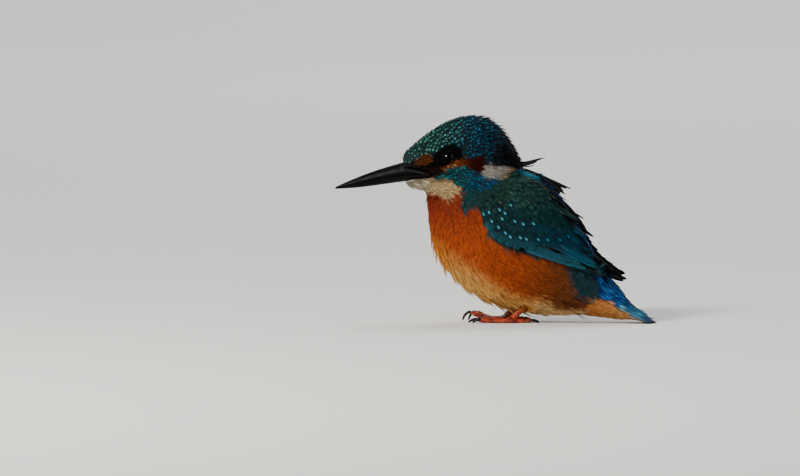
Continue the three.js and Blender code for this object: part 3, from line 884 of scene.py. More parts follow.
def settle(name: str, mesh: bpy.types.Mesh, finish: Finish | None = None,
           replaces: Sequence[str] = ()) -> None:
    """Puts a finished mesh on the bird and reports it.

    Args:
        name: the piece's name.
        mesh: its mesh, in metres.
        finish: its finish, if the mesh has none yet.
        replaces: nodes of the frame that it stands for.
    """
    piece = bpy.data.objects.new(name, mesh)
    bpy.context.scene.collection.objects.link(piece)
    if finish:
        mesh.materials.clear()
        mesh.materials.append(finish.material())
    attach(piece, "root")
    if replaces:
        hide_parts(*replaces)
    LOG.info("%s: %d faces", name, len(mesh.polygons))


def swollen(names: Sequence[str], swell: float) -> bpy.types.Mesh:
    """Copies nodes of the frame into one mesh.

    Args:
        names: the nodes, which stay as they are.
        swell: how far the copies are swollen, in millimetres.

    Returns:
        The copies, each with its corners joined.
    """
    body, mesh = bmesh.new(), bpy.data.meshes.new("swollen")
    for name in names:
        part = bmesh.new()
        part.from_mesh(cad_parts[name].data)
        bmesh.ops.remove_doubles(part, verts=part.verts, dist=1e-6)
        part.normal_update()
        for vertex in part.verts:
            vertex.co += vertex.normal * swell * MM
        part.to_mesh(mesh)
        part.free()
        body.from_mesh(mesh)
    body.to_mesh(mesh)
    body.free()
    return mesh


def shaped(mesh: bpy.types.Mesh, *steps: tuple[str, dict[str, object]]) -> bpy.types.Mesh:
    """Runs a mesh through some modifiers.

    Args:
        mesh: the mesh.
        steps: each modifier's kind and settings.

    Returns:
        The plain result.
    """
    holder = bpy.data.objects.new("holder", mesh)
    bpy.context.scene.collection.objects.link(holder)
    for kind, settings in steps:
        modifier = holder.modifiers.new(kind, kind)
        for name, value in settings.items():
            setattr(modifier, name, value)
    made = bpy.data.meshes.new_from_object(holder.evaluated_get(bpy.context.evaluated_depsgraph_get()))
    bpy.data.objects.remove(holder)
    return soften_shading(made)


def fuse(names: Sequence[str], swell: float, pitch: float, soften: int) -> bpy.types.Mesh:
    """Joins nodes of the frame into one even, closed mesh.

    Args:
        names: the nodes.
        swell: how far each is swollen first, to close the gaps between them, in millimetres.
        pitch: the size of the new mesh's faces in millimetres.
        soften: how many times the mesh is smoothed.

    Returns:
        The largest shell of the joined mesh.
    """
    mesh = shaped(swollen(names, swell), ("REMESH", {"mode": "VOXEL", "voxel_size": pitch * MM}),
                  ("SMOOTH", {"factor": 0.5, "iterations": soften}))
    shell = bmesh.new()
    shell.from_mesh(mesh)
    waiting, largest = set(shell.verts), set()
    while waiting:
        queue = [waiting.pop()]
        group = set(queue)
        while queue:
            here = queue.pop()
            linked = {edge.other_vert(here) for edge in here.link_edges} & waiting
            waiting -= linked
            group |= linked
            queue.extend(linked)
        largest = max(largest, group, key=len)
    bmesh.ops.delete(shell, geom=[v for v in shell.verts if v not in largest], context="VERTS")
    shell.to_mesh(mesh)
    shell.free()
    return mesh


def tree_of(points: np.ndarray) -> KDTree:
    """Sorts places for quick finding.

    Args:
        points: the places.

    Returns:
        Their balanced tree.
    """
    tree = KDTree(len(points))
    for number, point in enumerate(points):
        tree.insert(point, number)
    tree.balance()
    return tree


# ---- Vane shapes --------------------------------------------------------------------------------


@dataclass(frozen=True)
class Blade:
    """One closed, three-sided strip of a feather, on a unit feather that points along +Y."""

    start: Pair
    end: Pair
    half_width: float
    steps: int
    blunt: float = 0.0
    bulge: float = 0.5

    def add_to(self, draft: Draft, camber: float, droop: float) -> None:
        """Adds the strip to a draft.

        Args:
            draft: the feather so far.
            camber: how far the shaft rises over the edges.
            droop: how far the far end bends down.
        """
        (x0, y0), (x1, y1) = self.start, self.end
        first = len(draft.points)
        for i in range(self.steps + 1):
            t = i / self.steps
            swell = math.sin(math.pi * min(0.92, 0.12 + 0.88 * t) ** (2 * self.bulge)) ** 0.7
            half = self.half_width * max(swell, self.blunt if t > 0.5 else 0.12)
            x, y = x0 + (x1 - x0) * t, y0 + (y1 - y0) * t
            height = -droop * y * y
            edge = height - camber * (x * x + half * half) * 4 * 0.5
            ring = [(x - half, y, edge), (x, y, height), (x + half, y, edge)]
            if i == self.steps and not self.blunt:
                ring = ring[1:2]
            draft.points.extend(np.array(p) for p in ring)
            draft.vanes.extend((p[0] + 0.5, p[1]) for p in ring)
        last = first + 3 * self.steps
        for a in range(first, last if self.blunt else last - 3, 3):
            b = a + 3
            draft.faces += [[a, a + 1, b + 1, b], [a + 1, a + 2, b + 2, b + 1], [a + 2, a, b, b + 2]]
            draft.sharp |= {(a, b), (a + 2, b + 2)}
        if self.blunt:
            draft.faces.append([last, last + 1, last + 2])
        else:
            a = last - 3
            draft.faces += [[a, a + 1, last], [a + 1, a + 2, last], [a + 2, a, last]]
            draft.sharp |= {(a, last), (a + 2, last)}
        draft.faces.append([first + 2, first + 1, first])


class VaneKind(Enum):
    """The kinds of small feather on the bird."""

    SCALE = "scale"
    TUFT = "tuft"
    LOCK = "lock"
    COVERT = "covert"
    PLUME = "plume"


@dataclass(frozen=True)
class Vane:
    """A kind of small feather: one broad blade, and loose barbs spread at its end."""

    blade: Blade
    barbs: int
    spread: float
    barbs_from: float
    reach: Pair
    barb_width: float
    camber: float
    droop: float

    def build(self, name: str, rng: np.random.Generator) -> bpy.types.Object:
        """Makes one feather as an object that is not itself part of the bird.

        Args:
            name: its name.
            rng: the source of chance for the barbs.

        Returns:
            The template, outside the scene.
        """
        draft = Draft()
        self.blade.add_to(draft, self.camber, self.droop)
        for k in range(self.barbs):
            side = (k + 0.5) / self.barbs * 2 - 1
            lean = self.spread * side
            end = rng.uniform(*self.reach) - 0.16 * side * side
            barb = Blade((lean * 0.55, self.barbs_from - 0.05 * abs(side)), (lean * 0.5 + 0.06 * rng.normal(), end),
                         self.barb_width, 2)
            barb.add_to(draft, self.camber, self.droop)
        return bpy.data.objects.new(name, draft.mesh(name))


VANES: dict[VaneKind, Vane] = {
    VaneKind.SCALE: Vane(Blade((0, 0), (0, 0.93), 0.46, 4, 0.42, 0.42), 5, 0.72, 0.62, (0.98, 1.06), 0.085, 0.25, 0.07),
    VaneKind.TUFT: Vane(Blade((0, 0), (0, 0.8), 0.36, 3, 0.3, 0.45), 5, 0.95, 0.35, (0.86, 1.12), 0.085, 0.22, 0.07),
    VaneKind.LOCK: Vane(Blade((0, 0), (0.03, 0.75), 0.26, 3, 0.2, 0.45), 4, 0.8, 0.2, (0.85, 1.15), 0.085, 0.22, 0.08),
    VaneKind.COVERT: Vane(Blade((0, 0), (0, 0.94), 0.49, 5, 0.4, 0.4), 4, 0.8, 0.68, (0.98, 1.04), 0.11, 0.2, 0.05),
    VaneKind.PLUME: Vane(Blade((0, 0), (0.02, 0.86), 0.36, 4, 0.22, 0.42), 5, 0.9, 0.4, (0.84, 1.08), 0.075, 0.2, 0.06),
}
FORMS = 3


class VaneCase:
    """Every kind of small feather, in a few forms each."""

    def __init__(self, seed: int = 7) -> None:
        """Makes every form of every kind, outside the scene.

        Args:
            seed: fixes the chance.
        """
        rng = np.random.default_rng(seed)
        self.kinds: dict[VaneKind, list[bpy.types.Object]] = {kind: [] for kind in VaneKind}
        for number in range(FORMS):
            for kind, vane in VANES.items():
                self.kinds[kind].append(vane.build(f"{kind.value}_{number}", rng))




# ---- Skin ---------------------------------------------------------------------------------------


@dataclass
class Skin:
    """One seamless skin under the coat, from the bill to the tail, in millimetres."""

    flesh: tuple[str, ...]
    swell: float = 0.2
    pitch: float = 0.62
    depth: float = 0.95
    face_depth: float = 0.6
    soften: int = 6
    lowest: float = 0.6
    shank_radius: float = 0.9
    shank_reach: float = 11.0
    tail_from: float = 63.3
    tail_top: float = 11.4
    tail_fall: float = 0.93
    crowding: float = 7.0
    face_run: Pair = (-14.0, -26.0)
    face_rise: Pair = (56.0, 64.0)
    eye_room: Pair = (3.9, 6.5)
    bill_run: Pair = (-45.0, -40.0)
    bill_share: float = 0.1
    tail_run: Pair = (62.0, 74.0)
    tail_share: float = 0.25
    trunk_room: Pair = (0.4, 1.6)
    probes: Pair = (0.45, 0.8)

    def build(self, markings: Markings) -> None:
        """Grows the skin inside the flesh nodes and colours it.

        Args:
            markings: the colours of the coat.
        """
        mesh = fuse(self.flesh, self.swell, self.pitch, self.soften)
        self.sink(mesh)
        self.unwrap(mesh)
        store(mesh, "tone", "FLOAT_COLOR", markings.paint(read(mesh.vertices, "co"))[0])
        settle("skin", mesh, SkinFinish(), self.flesh)
        self.index(mesh)

    @staticmethod
    def leg_line(side: str) -> tuple[np.ndarray, np.ndarray]:
        """Gives the top of one bare leg and the direction up along it.

        Args:
            side: left or right.

        Returns:
            The place in metres and a unit direction.
        """
        nodes = read(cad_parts[f"tarsus_{side}"].data.vertices, "co")
        heel = nodes[nodes[:, 2] > nodes[:, 2].max() - 2 * MM].mean(axis=0)
        sole = nodes[nodes[:, 2] < nodes[:, 2].min() + 2 * MM].mean(axis=0)
        return heel, unit(heel - sole)

    def slim(self, points: np.ndarray) -> np.ndarray:
        """Draws the feathered shanks in until they lie inside the bare legs.

        Args:
            points: the places of the skin, in metres.

        Returns:
            The same places, moved near the legs only.
        """
        trunk, moved = Form(("trunk",)).tree, points.copy()
        for side in ("left", "right"):
            heel, axis = self.leg_line(side)
            for number in np.flatnonzero(np.linalg.norm(points - heel, axis=1) < self.shank_reach * MM):
                gap = trunk.find_nearest(Vector(points[number]))[3] / MM
                away = points[number] - heel - axis * float((points[number] - heel) @ axis)
                radius = float(np.linalg.norm(away)) / MM
                if radius > self.shank_radius:
                    moved[number] -= away * float(smooth(*self.trunk_room, gap)) * (1 - self.shank_radius / radius)
        return moved

    def sink(self, mesh: bpy.types.Mesh) -> None:
        """Moves the surface inwards by the depth of the coat, less round the eyes, bill and tail.

        Args:
            mesh: the remeshed flesh.
        """
        points, normals = read(mesh.vertices, "co"), read(mesh.vertices, "normal")
        along = VIEW.flatten(points)[:, 0]
        face = smooth(*self.face_run, points[:, 0] / MM) * smooth(*self.face_rise, points[:, 2] / MM)
        depth = self.depth * (1 - face) + self.face_depth * face
        for name in ("eye_left", "eye_right"):
            low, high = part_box(name)
            depth *= smooth(*self.eye_room, np.linalg.norm(points - np.array((low + high) / 2), axis=1) / MM)
        depth *= smooth(*self.bill_run, along) * (1 - self.bill_share) + self.bill_share
        depth *= 1 - (1 - self.tail_share) * smooth(*self.tail_run, along)
        moved = points - normals * (depth + self.swell)[:, None] * MM + self.slim(points) - points
        slope = (self.tail_top - self.tail_fall * (moved[:, 0] / MM - self.tail_from)) * MM
        behind = moved[:, 0] > self.tail_from * MM
        moved[behind, 2] = np.minimum(moved[behind, 2], slope[behind])
        moved[:, 2] = np.maximum(moved[:, 2], self.lowest * MM)
        mesh.vertices.foreach_set("co", moved.ravel())
        mesh.update()

    @staticmethod
    def unwrap(mesh: bpy.types.Mesh) -> None:
        """Unfolds the skin into the OFBake map.

        Args:
            mesh: the finished skin.
        """
        holder = bpy.data.objects.new("skin_unwrap", mesh)
        bpy.context.scene.collection.objects.link(holder)
        mesh.uv_layers.new(name="OFBake")
        bpy.context.view_layer.objects.active = holder
        holder.select_set(True)
        bpy.ops.object.mode_set(mode="EDIT")
        bpy.ops.mesh.select_all(action="SELECT")
        bpy.ops.uv.smart_project(angle_limit=math.radians(66), island_margin=0.004)
        bpy.ops.object.mode_set(mode="OBJECT")
        bpy.data.objects.remove(holder)

    def index(self, mesh: bpy.types.Mesh) -> None:
        """Keeps the tables that finding a place on the skin needs.

        Args:
            mesh: the finished skin.
        """
        mesh.calc_loop_triangles()
        self.points, self.normals = read(mesh.vertices, "co"), read(mesh.vertices, "normal")
        self.corners = read(mesh.loop_triangles, "vertices", 3, np.int32)
        loops = read(mesh.loop_triangles, "loops", 3, np.int32)
        self.flat = read(mesh.uv_layers["OFBake"].data, "uv", 2)[loops]
        self.tree = BVHTree.FromPolygons([tuple(p) for p in self.points], self.corners.tolist())
        edges = self.points[self.corners]
        self.areas = 0.5 * np.linalg.norm(np.cross(edges[:, 1] - edges[:, 0], edges[:, 2] - edges[:, 0]), axis=1)

    def scatter(self, rng: np.random.Generator, spacing: float) -> list[np.ndarray]:
        """Drops many more places on the skin than a spacing needs.

        Args:
            rng: the source of chance.
            spacing: the wanted gap between roots, in millimetres.

        Returns:
            Places, outward directions and places on the unwrapped map.
        """
        total = self.areas.sum()
        count = int(total / (spacing * MM) ** 2 * self.crowding)
        chosen = rng.choice(len(self.areas), count, p=self.areas / total)
        a, b = rng.random(count), rng.random(count)
        flip = a + b > 1
        a[flip], b[flip] = 1 - a[flip], 1 - b[flip]
        shares = np.stack([1 - a - b, a, b], axis=1)[:, :, None]
        tri = self.corners[chosen]
        return [(self.points[tri] * shares).sum(axis=1), unit((self.normals[tri] * shares).sum(axis=1)),
                (self.flat[chosen] * shares).sum(axis=1)]

    def clear(self, roots: np.ndarray, lies: np.ndarray, lengths: np.ndarray, gap: float = 0.14) -> np.ndarray:
        """Turns feathers outward where the skin curves up into their way.

        Args:
            roots: where they grow.
            lies: the way each points.
            lengths: their lengths in metres.
            gap: the least height over the skin in millimetres.

        Returns:
            The changed ways.
        """
        lies = lies.copy()
        for number, (root, length) in enumerate(zip(roots, lengths)):
            for reach in self.probes:
                place = Vector(root + lies[number] * length * reach)
                spot, out, _, _ = self.tree.find_nearest(place)
                short = gap * MM - (place - spot).dot(out)
                if short > 0:
                    lies[number] = unit(lies[number] + np.array(out) * short / (length * reach))
        return lies

    def nearest(self, point: Sequence[float]) -> tuple[np.ndarray, np.ndarray, np.ndarray]:
        """Finds the skin next to a place.

        Args:
            point: any place in metres.

        Returns:
            The skin's place, its outward direction and its place on the map.
        """
        spot, _, face, _ = self.tree.find_nearest(Vector(point))
        tri, spot = self.corners[face], np.array(spot)
        a, b, c = (self.points[i] for i in tri)
        whole = np.linalg.norm(np.cross(b - a, c - a))
        first = np.linalg.norm(np.cross(b - spot, c - spot)) / whole
        second = np.linalg.norm(np.cross(c - spot, a - spot)) / whole
        shares = np.array([first, second, max(0.0, 1 - first - second)])[:, None]
        normal = unit((self.normals[tri] * shares).sum(axis=0))
        return spot, np.array(Vector(normal)), (self.flat[face] * shares).sum(axis=0)

    def under(self, place: Pair) -> tuple[np.ndarray, np.ndarray, np.ndarray]:
        """Finds the left flank's skin behind a place on the side plane, as nearest gives it."""
        return self.nearest(self.tree.ray_cast(*VIEW.ray(place))[0] or VIEW.place(place))


# ---- Plumage ------------------------------------------------------------------------------------


@dataclass
class Roots:
    """Where feathers grow, and everything that each one needs."""

    points: np.ndarray
    lies: np.ndarray
    outs: np.ndarray
    sizes: np.ndarray
    tones: np.ndarray
    tips: np.ndarray
    spots: np.ndarray
    places: np.ndarray
    kinds: np.ndarray

    @staticmethod
    def join(groups: "Sequence[Roots]") -> "Roots":
        """Puts several sets of roots into one."""
        return Roots(*(np.concatenate([getattr(group, part.name) for group in groups]) for part in fields(Roots)))

    def mirrored(self) -> "Roots":
        """Gives the same feathers on the other flank."""
        return replace(self, points=self.points * OTHER_FLANK, lies=self.lies * OTHER_FLANK,
                       outs=self.outs * OTHER_FLANK)


class Plumage:
    """Sets feathers on their roots by Geometry Nodes and brings each piece to one plain mesh."""

    def __init__(self, case: VaneCase) -> None:
        """Takes the small feathers to plant."""
        self.case = case

    def tree(self, kind: VaneKind, material: bpy.types.Material) -> bpy.types.NodeTree:
        """Builds the node tree for one kind of feather and one finish.

        Args:
            kind: the feather's kind.
            material: what it is made of.

        Returns:
            The tree, with named inputs for its sizes.
        """
        tree = bpy.data.node_groups.new(f"grow_{kind.value}_{material.name}", "GeometryNodeTree")
        for title, socket, value in (("Geometry", "Geometry", None), ("Patch Size", "Float", BAKE_PATCH),
                                     ("Size Change", "Float", 0.12), ("Seed", "Int", 1)):
            made = tree.interface.new_socket(title, in_out="INPUT", socket_type=f"NodeSocket{socket}")
            if value:
                made.default_value = value
        tree.interface.new_socket("Geometry", in_out="OUTPUT", socket_type="NodeSocketGeometry")
        board = Board(tree)
        start, end = board.add("NodeGroupInput").outputs, board.add("NodeGroupOutput")

        def named(title: str, data_type: str = "FLOAT_VECTOR") -> Socket:
            """Reads an attribute of the roots."""
            node = board.add("GeometryNodeInputNamedAttribute", {"Name": title}, data_type=data_type)
            return node.outputs["Attribute"]

        vanes = board.add("GeometryNodeJoinGeometry")
        for template in reversed(self.case.kinds[kind]):
            info = board.add("GeometryNodeObjectInfo", {"Object": template, "As Instance": True})
            board.fill(vanes, {0: info.outputs["Geometry"]})
        turn = board.add("FunctionNodeAxesToRotation", {0: named("lie"), 1: named("out")}, primary_axis="Y",
                         secondary_axis="Z")
        chance = board.add("FunctionNodeRandomValue", {
            2: board.minus(1.0, start["Size Change"]), 3: board.plus(1.0, start["Size Change"]),
            "Seed": start["Seed"]}, data_type="FLOAT")
        grown = board.add("GeometryNodeInstanceOnPoints", {
            "Points": start["Geometry"], "Instance": vanes.outputs[0], "Pick Instance": True,
            "Instance Index": named("kind", "INT"), "Rotation": turn.outputs[0],
            "Scale": board.vector("SCALE", named("size"), chance.outputs[1])})
        real = board.add("GeometryNodeRealizeInstances", {0: grown.outputs[0]})
        offset = board.vector("SCALE", board.vector("SUBTRACT", named("vane"), (0.5, 0.5, 0.0)), start["Patch Size"])
        stored = board.add("GeometryNodeStoreNamedAttribute", {
            "Geometry": real.outputs[0], "Name": "OFBake", "Value": board.vector("ADD", named("place"), offset)},
            data_type="FLOAT2", domain="CORNER")
        dressed = board.add("GeometryNodeSetMaterial", {"Geometry": stored.outputs[0], "Material": material})
        board.fill(end, {0: dressed.outputs[0]})
        return tree

    def grow(self, name: str, kind: VaneKind, finish: FeatherFinish, slot: str, roots: Roots, seed: int,
             size_change: float = 0.12) -> None:
        """Makes one piece of the coat, as a plain mesh.

        Args:
            name: the piece's name.
            kind: the kind of feather.
            finish: what the feathers are made of.
            slot: not used.
            roots: where they grow.
            seed: fixes the chance in their sizes.
            size_change: how much their sizes differ.
        """
        seeds = bpy.data.meshes.new(f"{name}_roots")
        seeds.from_pydata([tuple(p) for p in roots.points], [], [])
        on_map = np.hstack([roots.places, np.zeros((len(roots.places), 1))])
        for title, rows in (("lie", roots.lies), ("out", roots.outs), ("size", roots.sizes), ("spot", roots.spots),
                            ("place", on_map)):
            store(seeds, title, "FLOAT_VECTOR", rows)
        store(seeds, "tone", "FLOAT_COLOR", roots.tones)
        store(seeds, "tip", "FLOAT_COLOR", roots.tips)
        store(seeds, "kind", "INT", roots.kinds.astype(np.int32))
        holder = bpy.data.objects.new(f"{name}_holder", seeds)
        bpy.context.scene.collection.objects.link(holder)
        growth = holder.modifiers.new("growth", "NODES")
        growth.node_group = self.tree(kind, finish.material())
        wanted = {"Seed": seed, "Size Change": size_change}
        for socket in growth.node_group.interface.items_tree:
            if socket.in_out == "INPUT" and socket.name in wanted:
                growth[socket.identifier] = wanted[socket.name]
        depsgraph = bpy.context.evaluated_depsgraph_get()
        mesh = bpy.data.meshes.new_from_object(holder.evaluated_get(depsgraph), preserve_all_data_layers=True,
                                               depsgraph=depsgraph)
        holder.modifiers.remove(growth)
        bpy.data.objects.remove(holder)
        mesh.name = name
        for title in ("lie", "out", "size", "place", "kind"):
            if title in mesh.attributes:
                mesh.attributes.remove(mesh.attributes[title])
        mesh.uv_layers["OFBake"].active_render = True
        settle(name, mesh)


def jitter(rng: np.random.Generator, spread: float, count: int) -> np.ndarray:
    """Draws one random number about nought for each feather, as a column."""
    return rng.normal(0, spread, (count, 1))


def thin_out(points: np.ndarray, spacing: float) -> np.ndarray:
    """Keeps places that are at least a spacing apart.

    Args:
        points: candidate places.
        spacing: the least gap in metres.

    Returns:
        The numbers of the places kept.
    """
    tree, free, kept = tree_of(points), np.ones(len(points), dtype=bool), []
    for number, point in enumerate(points):
        if free[number]:
            kept.append(number)
            for _, other, _ in tree.find_range(point, spacing):
                free[other] = False
    return np.array(kept, dtype=int)


@dataclass(frozen=True)
class Tract:
    """One stretch of small feathers: where it is, how close, how long, and how it lies."""

    region: Region
    spacing: float
    length: float
    width: float
    lift: float
    unruly: float = 0.08
    spot: Triple = (1.0, 0.3, 1.4)
    sunk: float = 0.08
    ahead: float = 0.55
    mixing: float = 0.25
    ordered: bool = False
    vary: Pair = (0.92, 1.08)
    flecks: tuple[float, str] | None = None
    keep: Callable[[np.ndarray], np.ndarray] | None = None

    row_way = (1.0, 0.0, 0.35)
    fleck_spot = (0.72, 0.36, 0.2)
    spot_change = (0.75, 1.35)
    lowest = 0.25
    lift_change = 0.22
    tone_change = 0.09
    forehead_run = (-34.0, -44.0)
    forehead_rise = (64.0, 70.0)
    forehead_share = 0.45
    turned_away = -0.3
    hanging = -0.75
    middle = 6.0
    heel_room = 8.0
    leg_room = ((0.0, 2.2), (0.5, 1.7), (1.0, 1.7))
    leg_run = (-7.0, 1.0)

    def off_the_legs(self, skin: Skin, points: np.ndarray, lies: np.ndarray) -> np.ndarray:
        """Tells which feathers neither hang over a bare leg nor pass through it.

        Args:
            skin: the bird's skin.
            points: their roots.
            lies: the way they point.

        Returns:
            One truth value for each feather.
        """
        wanted = np.ones(len(points), dtype=bool)
        for side in ("left", "right"):
            heel, axis = skin.leg_line(side)
            wanted &= ~((np.linalg.norm(points - heel, axis=1) < self.heel_room * MM) & (lies[:, 2] < self.hanging))
            for reach, girth in self.leg_room:
                gap = points + lies * self.length * reach * MM - heel
                run = gap @ axis / MM
                aside = np.linalg.norm(gap - np.outer(gap @ axis, axis), axis=1) / MM
                wanted &= ~((aside < girth) & (run < self.leg_run[1]) & (run > self.leg_run[0]))
        return wanted

    def planted(self, skin: Skin, markings: Markings, lie: LieField, rng: np.random.Generator) -> list[np.ndarray]:
        """Chooses where the tract's feathers grow.

        Args:
            skin: the bird's skin.
            markings: its colours.
            lie: the lie of its coat.
            rng: the source of chance.

        Returns:
            Places, outward directions, places on the map and the way each feather points.
        """
        rows = skin.scatter(rng, self.spacing)
        patches = [number for number, patch in enumerate(PATCHES) if patch.region is self.region]
        flat, near = VIEW.flatten(rows[0]), np.zeros(len(rows[0]), dtype=bool)
        for number in patches:
            corners = corners_of(PATCHES[number].outline)
            near |= np.all((flat > corners.min(axis=0) - self.length - 1)
                           & (flat < corners.max(axis=0) + self.length + 1), axis=1)
        points, normals, places = (row[near] for row in rows)
        lies = lie.at(points, normals)
        wanted = np.isin(markings.sort(points + lies * self.length * self.ahead * MM), patches)
        outward = normals[:, 1] * np.sign(points[:, 1]) > self.turned_away
        wanted &= outward | (np.abs(points[:, 1]) < self.middle * MM)
        wanted &= self.off_the_legs(skin, points, lies)
        if self.keep:
            wanted &= self.keep(points)
        rows = [row[wanted] for row in (points, normals, places, lies)]
        if self.ordered:
            order = np.argsort(rows[0] @ np.array(self.row_way))
            rows = [row[order] for row in rows]
        kept = thin_out(rows[0], self.spacing * MM)
        return [row[kept] for row in rows]

    def roots(self, skin: Skin, markings: Markings, lie: LieField, seed: int) -> Roots:
        """Plants the tract and gives each feather its lift, size and colours.

        Args:
            skin: the bird's skin.
            markings: its colours.
            lie: the lie of its coat.
            seed: fixes the chance.

        Returns:
            The roots of the tract.
        """
        rng = np.random.default_rng(seed)
        points, normals, places, lies = self.planted(skin, markings, lie, rng)
        count, side = len(points), np.cross(normals, lies)
        lies = unit(lies + side * jitter(rng, self.unruly, count))
        lift = np.radians(self.lift * (1 + jitter(rng, self.lift_change, count)))
        lies = lies * np.cos(lift) + normals * np.sin(lift)
        stray = side * jitter(rng, self.mixing, count) + lies * jitter(rng, self.mixing, count)
        tone, tip = markings.paint(points + (lies * self.length * self.ahead + stray) * MM)
        change, flat = 1 + jitter(rng, self.tone_change, count), VIEW.flatten(points)
        forehead = smooth(*self.forehead_run, flat[:, 0]) * smooth(*self.forehead_rise, flat[:, 1])
        small = 1 - self.forehead_share * forehead
        sizes = np.array([self.width, self.length, self.length]) * small[:, None] * MM
        roots = points - normals * self.sunk * MM
        lies = skin.clear(roots, lies, sizes[:, 1])
        lies[:, 2] = np.maximum(lies[:, 2], (self.lowest * MM - roots[:, 2]) / sizes[:, 1])
        tip = tip * change * rng.uniform(*self.vary, (count, 1))
        spots = np.array(self.spot) * np.hstack([np.ones((count, 1)), rng.uniform(*self.spot_change, (count, 2))])
        if self.flecks:
            share, pale = self.flecks
            flecked = rng.random(count) < share
            tip[flecked], spots[flecked] = linear(pale), self.fleck_spot
        return Roots(roots, unit(lies), normals, sizes, tone * change, tip, spots, places,
                     rng.integers(0, FORMS, count))


WING_AREA = corners_of("-10,54 -3,56 6,57.5 14,53.6 20,51.2 24,48.5 28,46 36,44.6 41,42 46,38.5 52,32.5 58,27 66,20"
                       " 44,20 20,27 0,33 -10,42")


def inside(outline: np.ndarray, points: np.ndarray) -> np.ndarray:
    """Tells which places lie within an outline, as the side view shows them."""
    return depth_in(outline, VIEW.flatten(points)) > 0


COAT: tuple[tuple[str, VaneKind, FeatherFinish, str, tuple[Tract, ...]], ...] = (
    ("crown_feathers", VaneKind.SCALE, GLOSSY, "head_feathers", (
        Tract(Region.CROWN, 1.5, 3.6, 2.0, 14, 0.1, (0.8, 0.22, 0.46), sunk=0.0, ordered=True, vary=(0.2, 1.3)),)),
    ("nape_feathers", VaneKind.LOCK, GLOSSY, "head_feathers", (
        Tract(Region.CROWN, 1.6, 4.8, 1.1, 24, 0.3, keep=lambda p: p[:, 0] > -0.008),)),
    ("face_feathers", VaneKind.TUFT, FACE, "head_feathers", (
        Tract(Region.LORE, 0.68, 2.4, 0.8, 12, 0.14, (1.0, 0.8, 1.6)),
        Tract(Region.EYE_RING, 0.62, 1.9, 0.9, 12, 0.1),
        Tract(Region.CHEEK, 0.78, 3.2, 1.0, 9, 0.1, (1.0, 0.6, 1.6)))),
    ("malar_feathers", VaneKind.TUFT, GLOSSY, "head_feathers", (
        Tract(Region.MALAR, 1.15, 4.2, 1.5, 12, 0.1, (0.85, 0.3, 0.6), vary=(0.45, 1.2)),
        Tract(Region.BREAST_SIDE, 1.1, 4.2, 1.7, 12, 0.12))),
    ("throat_feathers", VaneKind.LOCK, DOWN, "head_feathers", (
        Tract(Region.THROAT, 0.82, 5.0, 1.0, 5, 0.07, (1.0, 0.8, 1.6), mixing=0.9, vary=(0.8, 1.15),
              keep=lambda p: (p[:, 0] < -0.034) | (VIEW.flatten(p)[:, 1] < 66.3)),
        Tract(Region.NECK_PATCH, 0.8, 5.4, 1.2, 6, 0.04, (1.0, 0.8, 1.6), mixing=0.5))),
    ("breast_feathers", VaneKind.TUFT, SOFT, "breast_feathers", (
        Tract(Region.BREAST, 1.05, 4.8, 1.6, 9, 0.07, mixing=0.8, keep=lambda p: p[:, 0] < 0.03),)),
    ("flank_feathers", VaneKind.TUFT, SOFT, "breast_feathers", (
        Tract(Region.FLANK, 1.15, 6.0, 1.7, 8, 0.07, mixing=0.8),
        Tract(Region.DARK_FLANK, 1.25, 6.0, 2.0, 9, 0.1, mixing=0.8))),
    ("belly_feathers", VaneKind.LOCK, SOFT, "breast_feathers", (
        Tract(Region.BELLY, 1.05, 7.2, 1.6, 9, 0.12, mixing=1.6),
        Tract(Region.VENT, 1.2, 6.0, 1.8, 9, 0.14, mixing=1.5))),
    ("belly_locks", VaneKind.LOCK, SOFT, "breast_feathers", (
        Tract(Region.BELLY, 2.8, 9.5, 1.3, 13, 0.16, mixing=2.0, keep=lambda p: p[:, 0] < 0.012),)),
    ("undertail_feathers", VaneKind.PLUME, SOFT, "breast_feathers", (
        Tract(Region.UNDERTAIL, 1.4, 6.6, 2.1, 7, 0.07, keep=lambda p: p[:, 0] < 0.063),)),
    ("back_feathers", VaneKind.PLUME, GLOSSY, "rump_feathers", (
        Tract(Region.BACK, 1.4, 5.6, 2.0, 5, 0.09),
        Tract(Region.RUMP, 1.4, 7.4, 2.1, 9, 0.07, (0.75, 0.6, 0.5), sunk=-0.4, vary=(0.7, 1.25),
              keep=lambda p: p[:, 0] < 0.058),
        Tract(Region.RUMP, 1.25, 8.6, 2.2, 3, 0.03, (0.75, 0.7, 0.4), sunk=-0.2, vary=(0.7, 1.25),
              keep=lambda p: (p[:, 0] > 0.054) & (p[:, 0] < 0.067)))),
    ("mantle_feathers", VaneKind.PLUME, GLOSSY, "wing_feathers", (
        Tract(Region.MANTLE, 1.6, 6.2, 2.3, 8, 0.08, flecks=(0.075, "56665c"), keep=lambda p: ~inside(WING_AREA, p)),
        Tract(Region.MANTLE, 1.5, 6.2, 1.9, 15, 0.14,
              keep=lambda p: (p[:, 0] > 0.017) & (np.abs(p[:, 1]) < 0.0085)))),
)


@dataclass
class Coat:
    """All small feathers of the body and head, piece by piece."""

    skin: Skin
    markings: Markings
    lie: LieField
    plumage: Plumage
    first_seed: int = 11

    def build(self) -> None:
        """Grows every piece of the body's coat."""
        for seed, (name, kind, finish, slot, tracts) in enumerate(COAT, start=self.first_seed):
            roots = Roots.join([tract.roots(self.skin, self.markings, self.lie, seed * 10 + number)
                                for number, tract in enumerate(tracts)])
            LOG.info("%s: %d roots", name, len(roots.points))
            self.plumage.grow(name, kind, finish, slot, roots, seed)


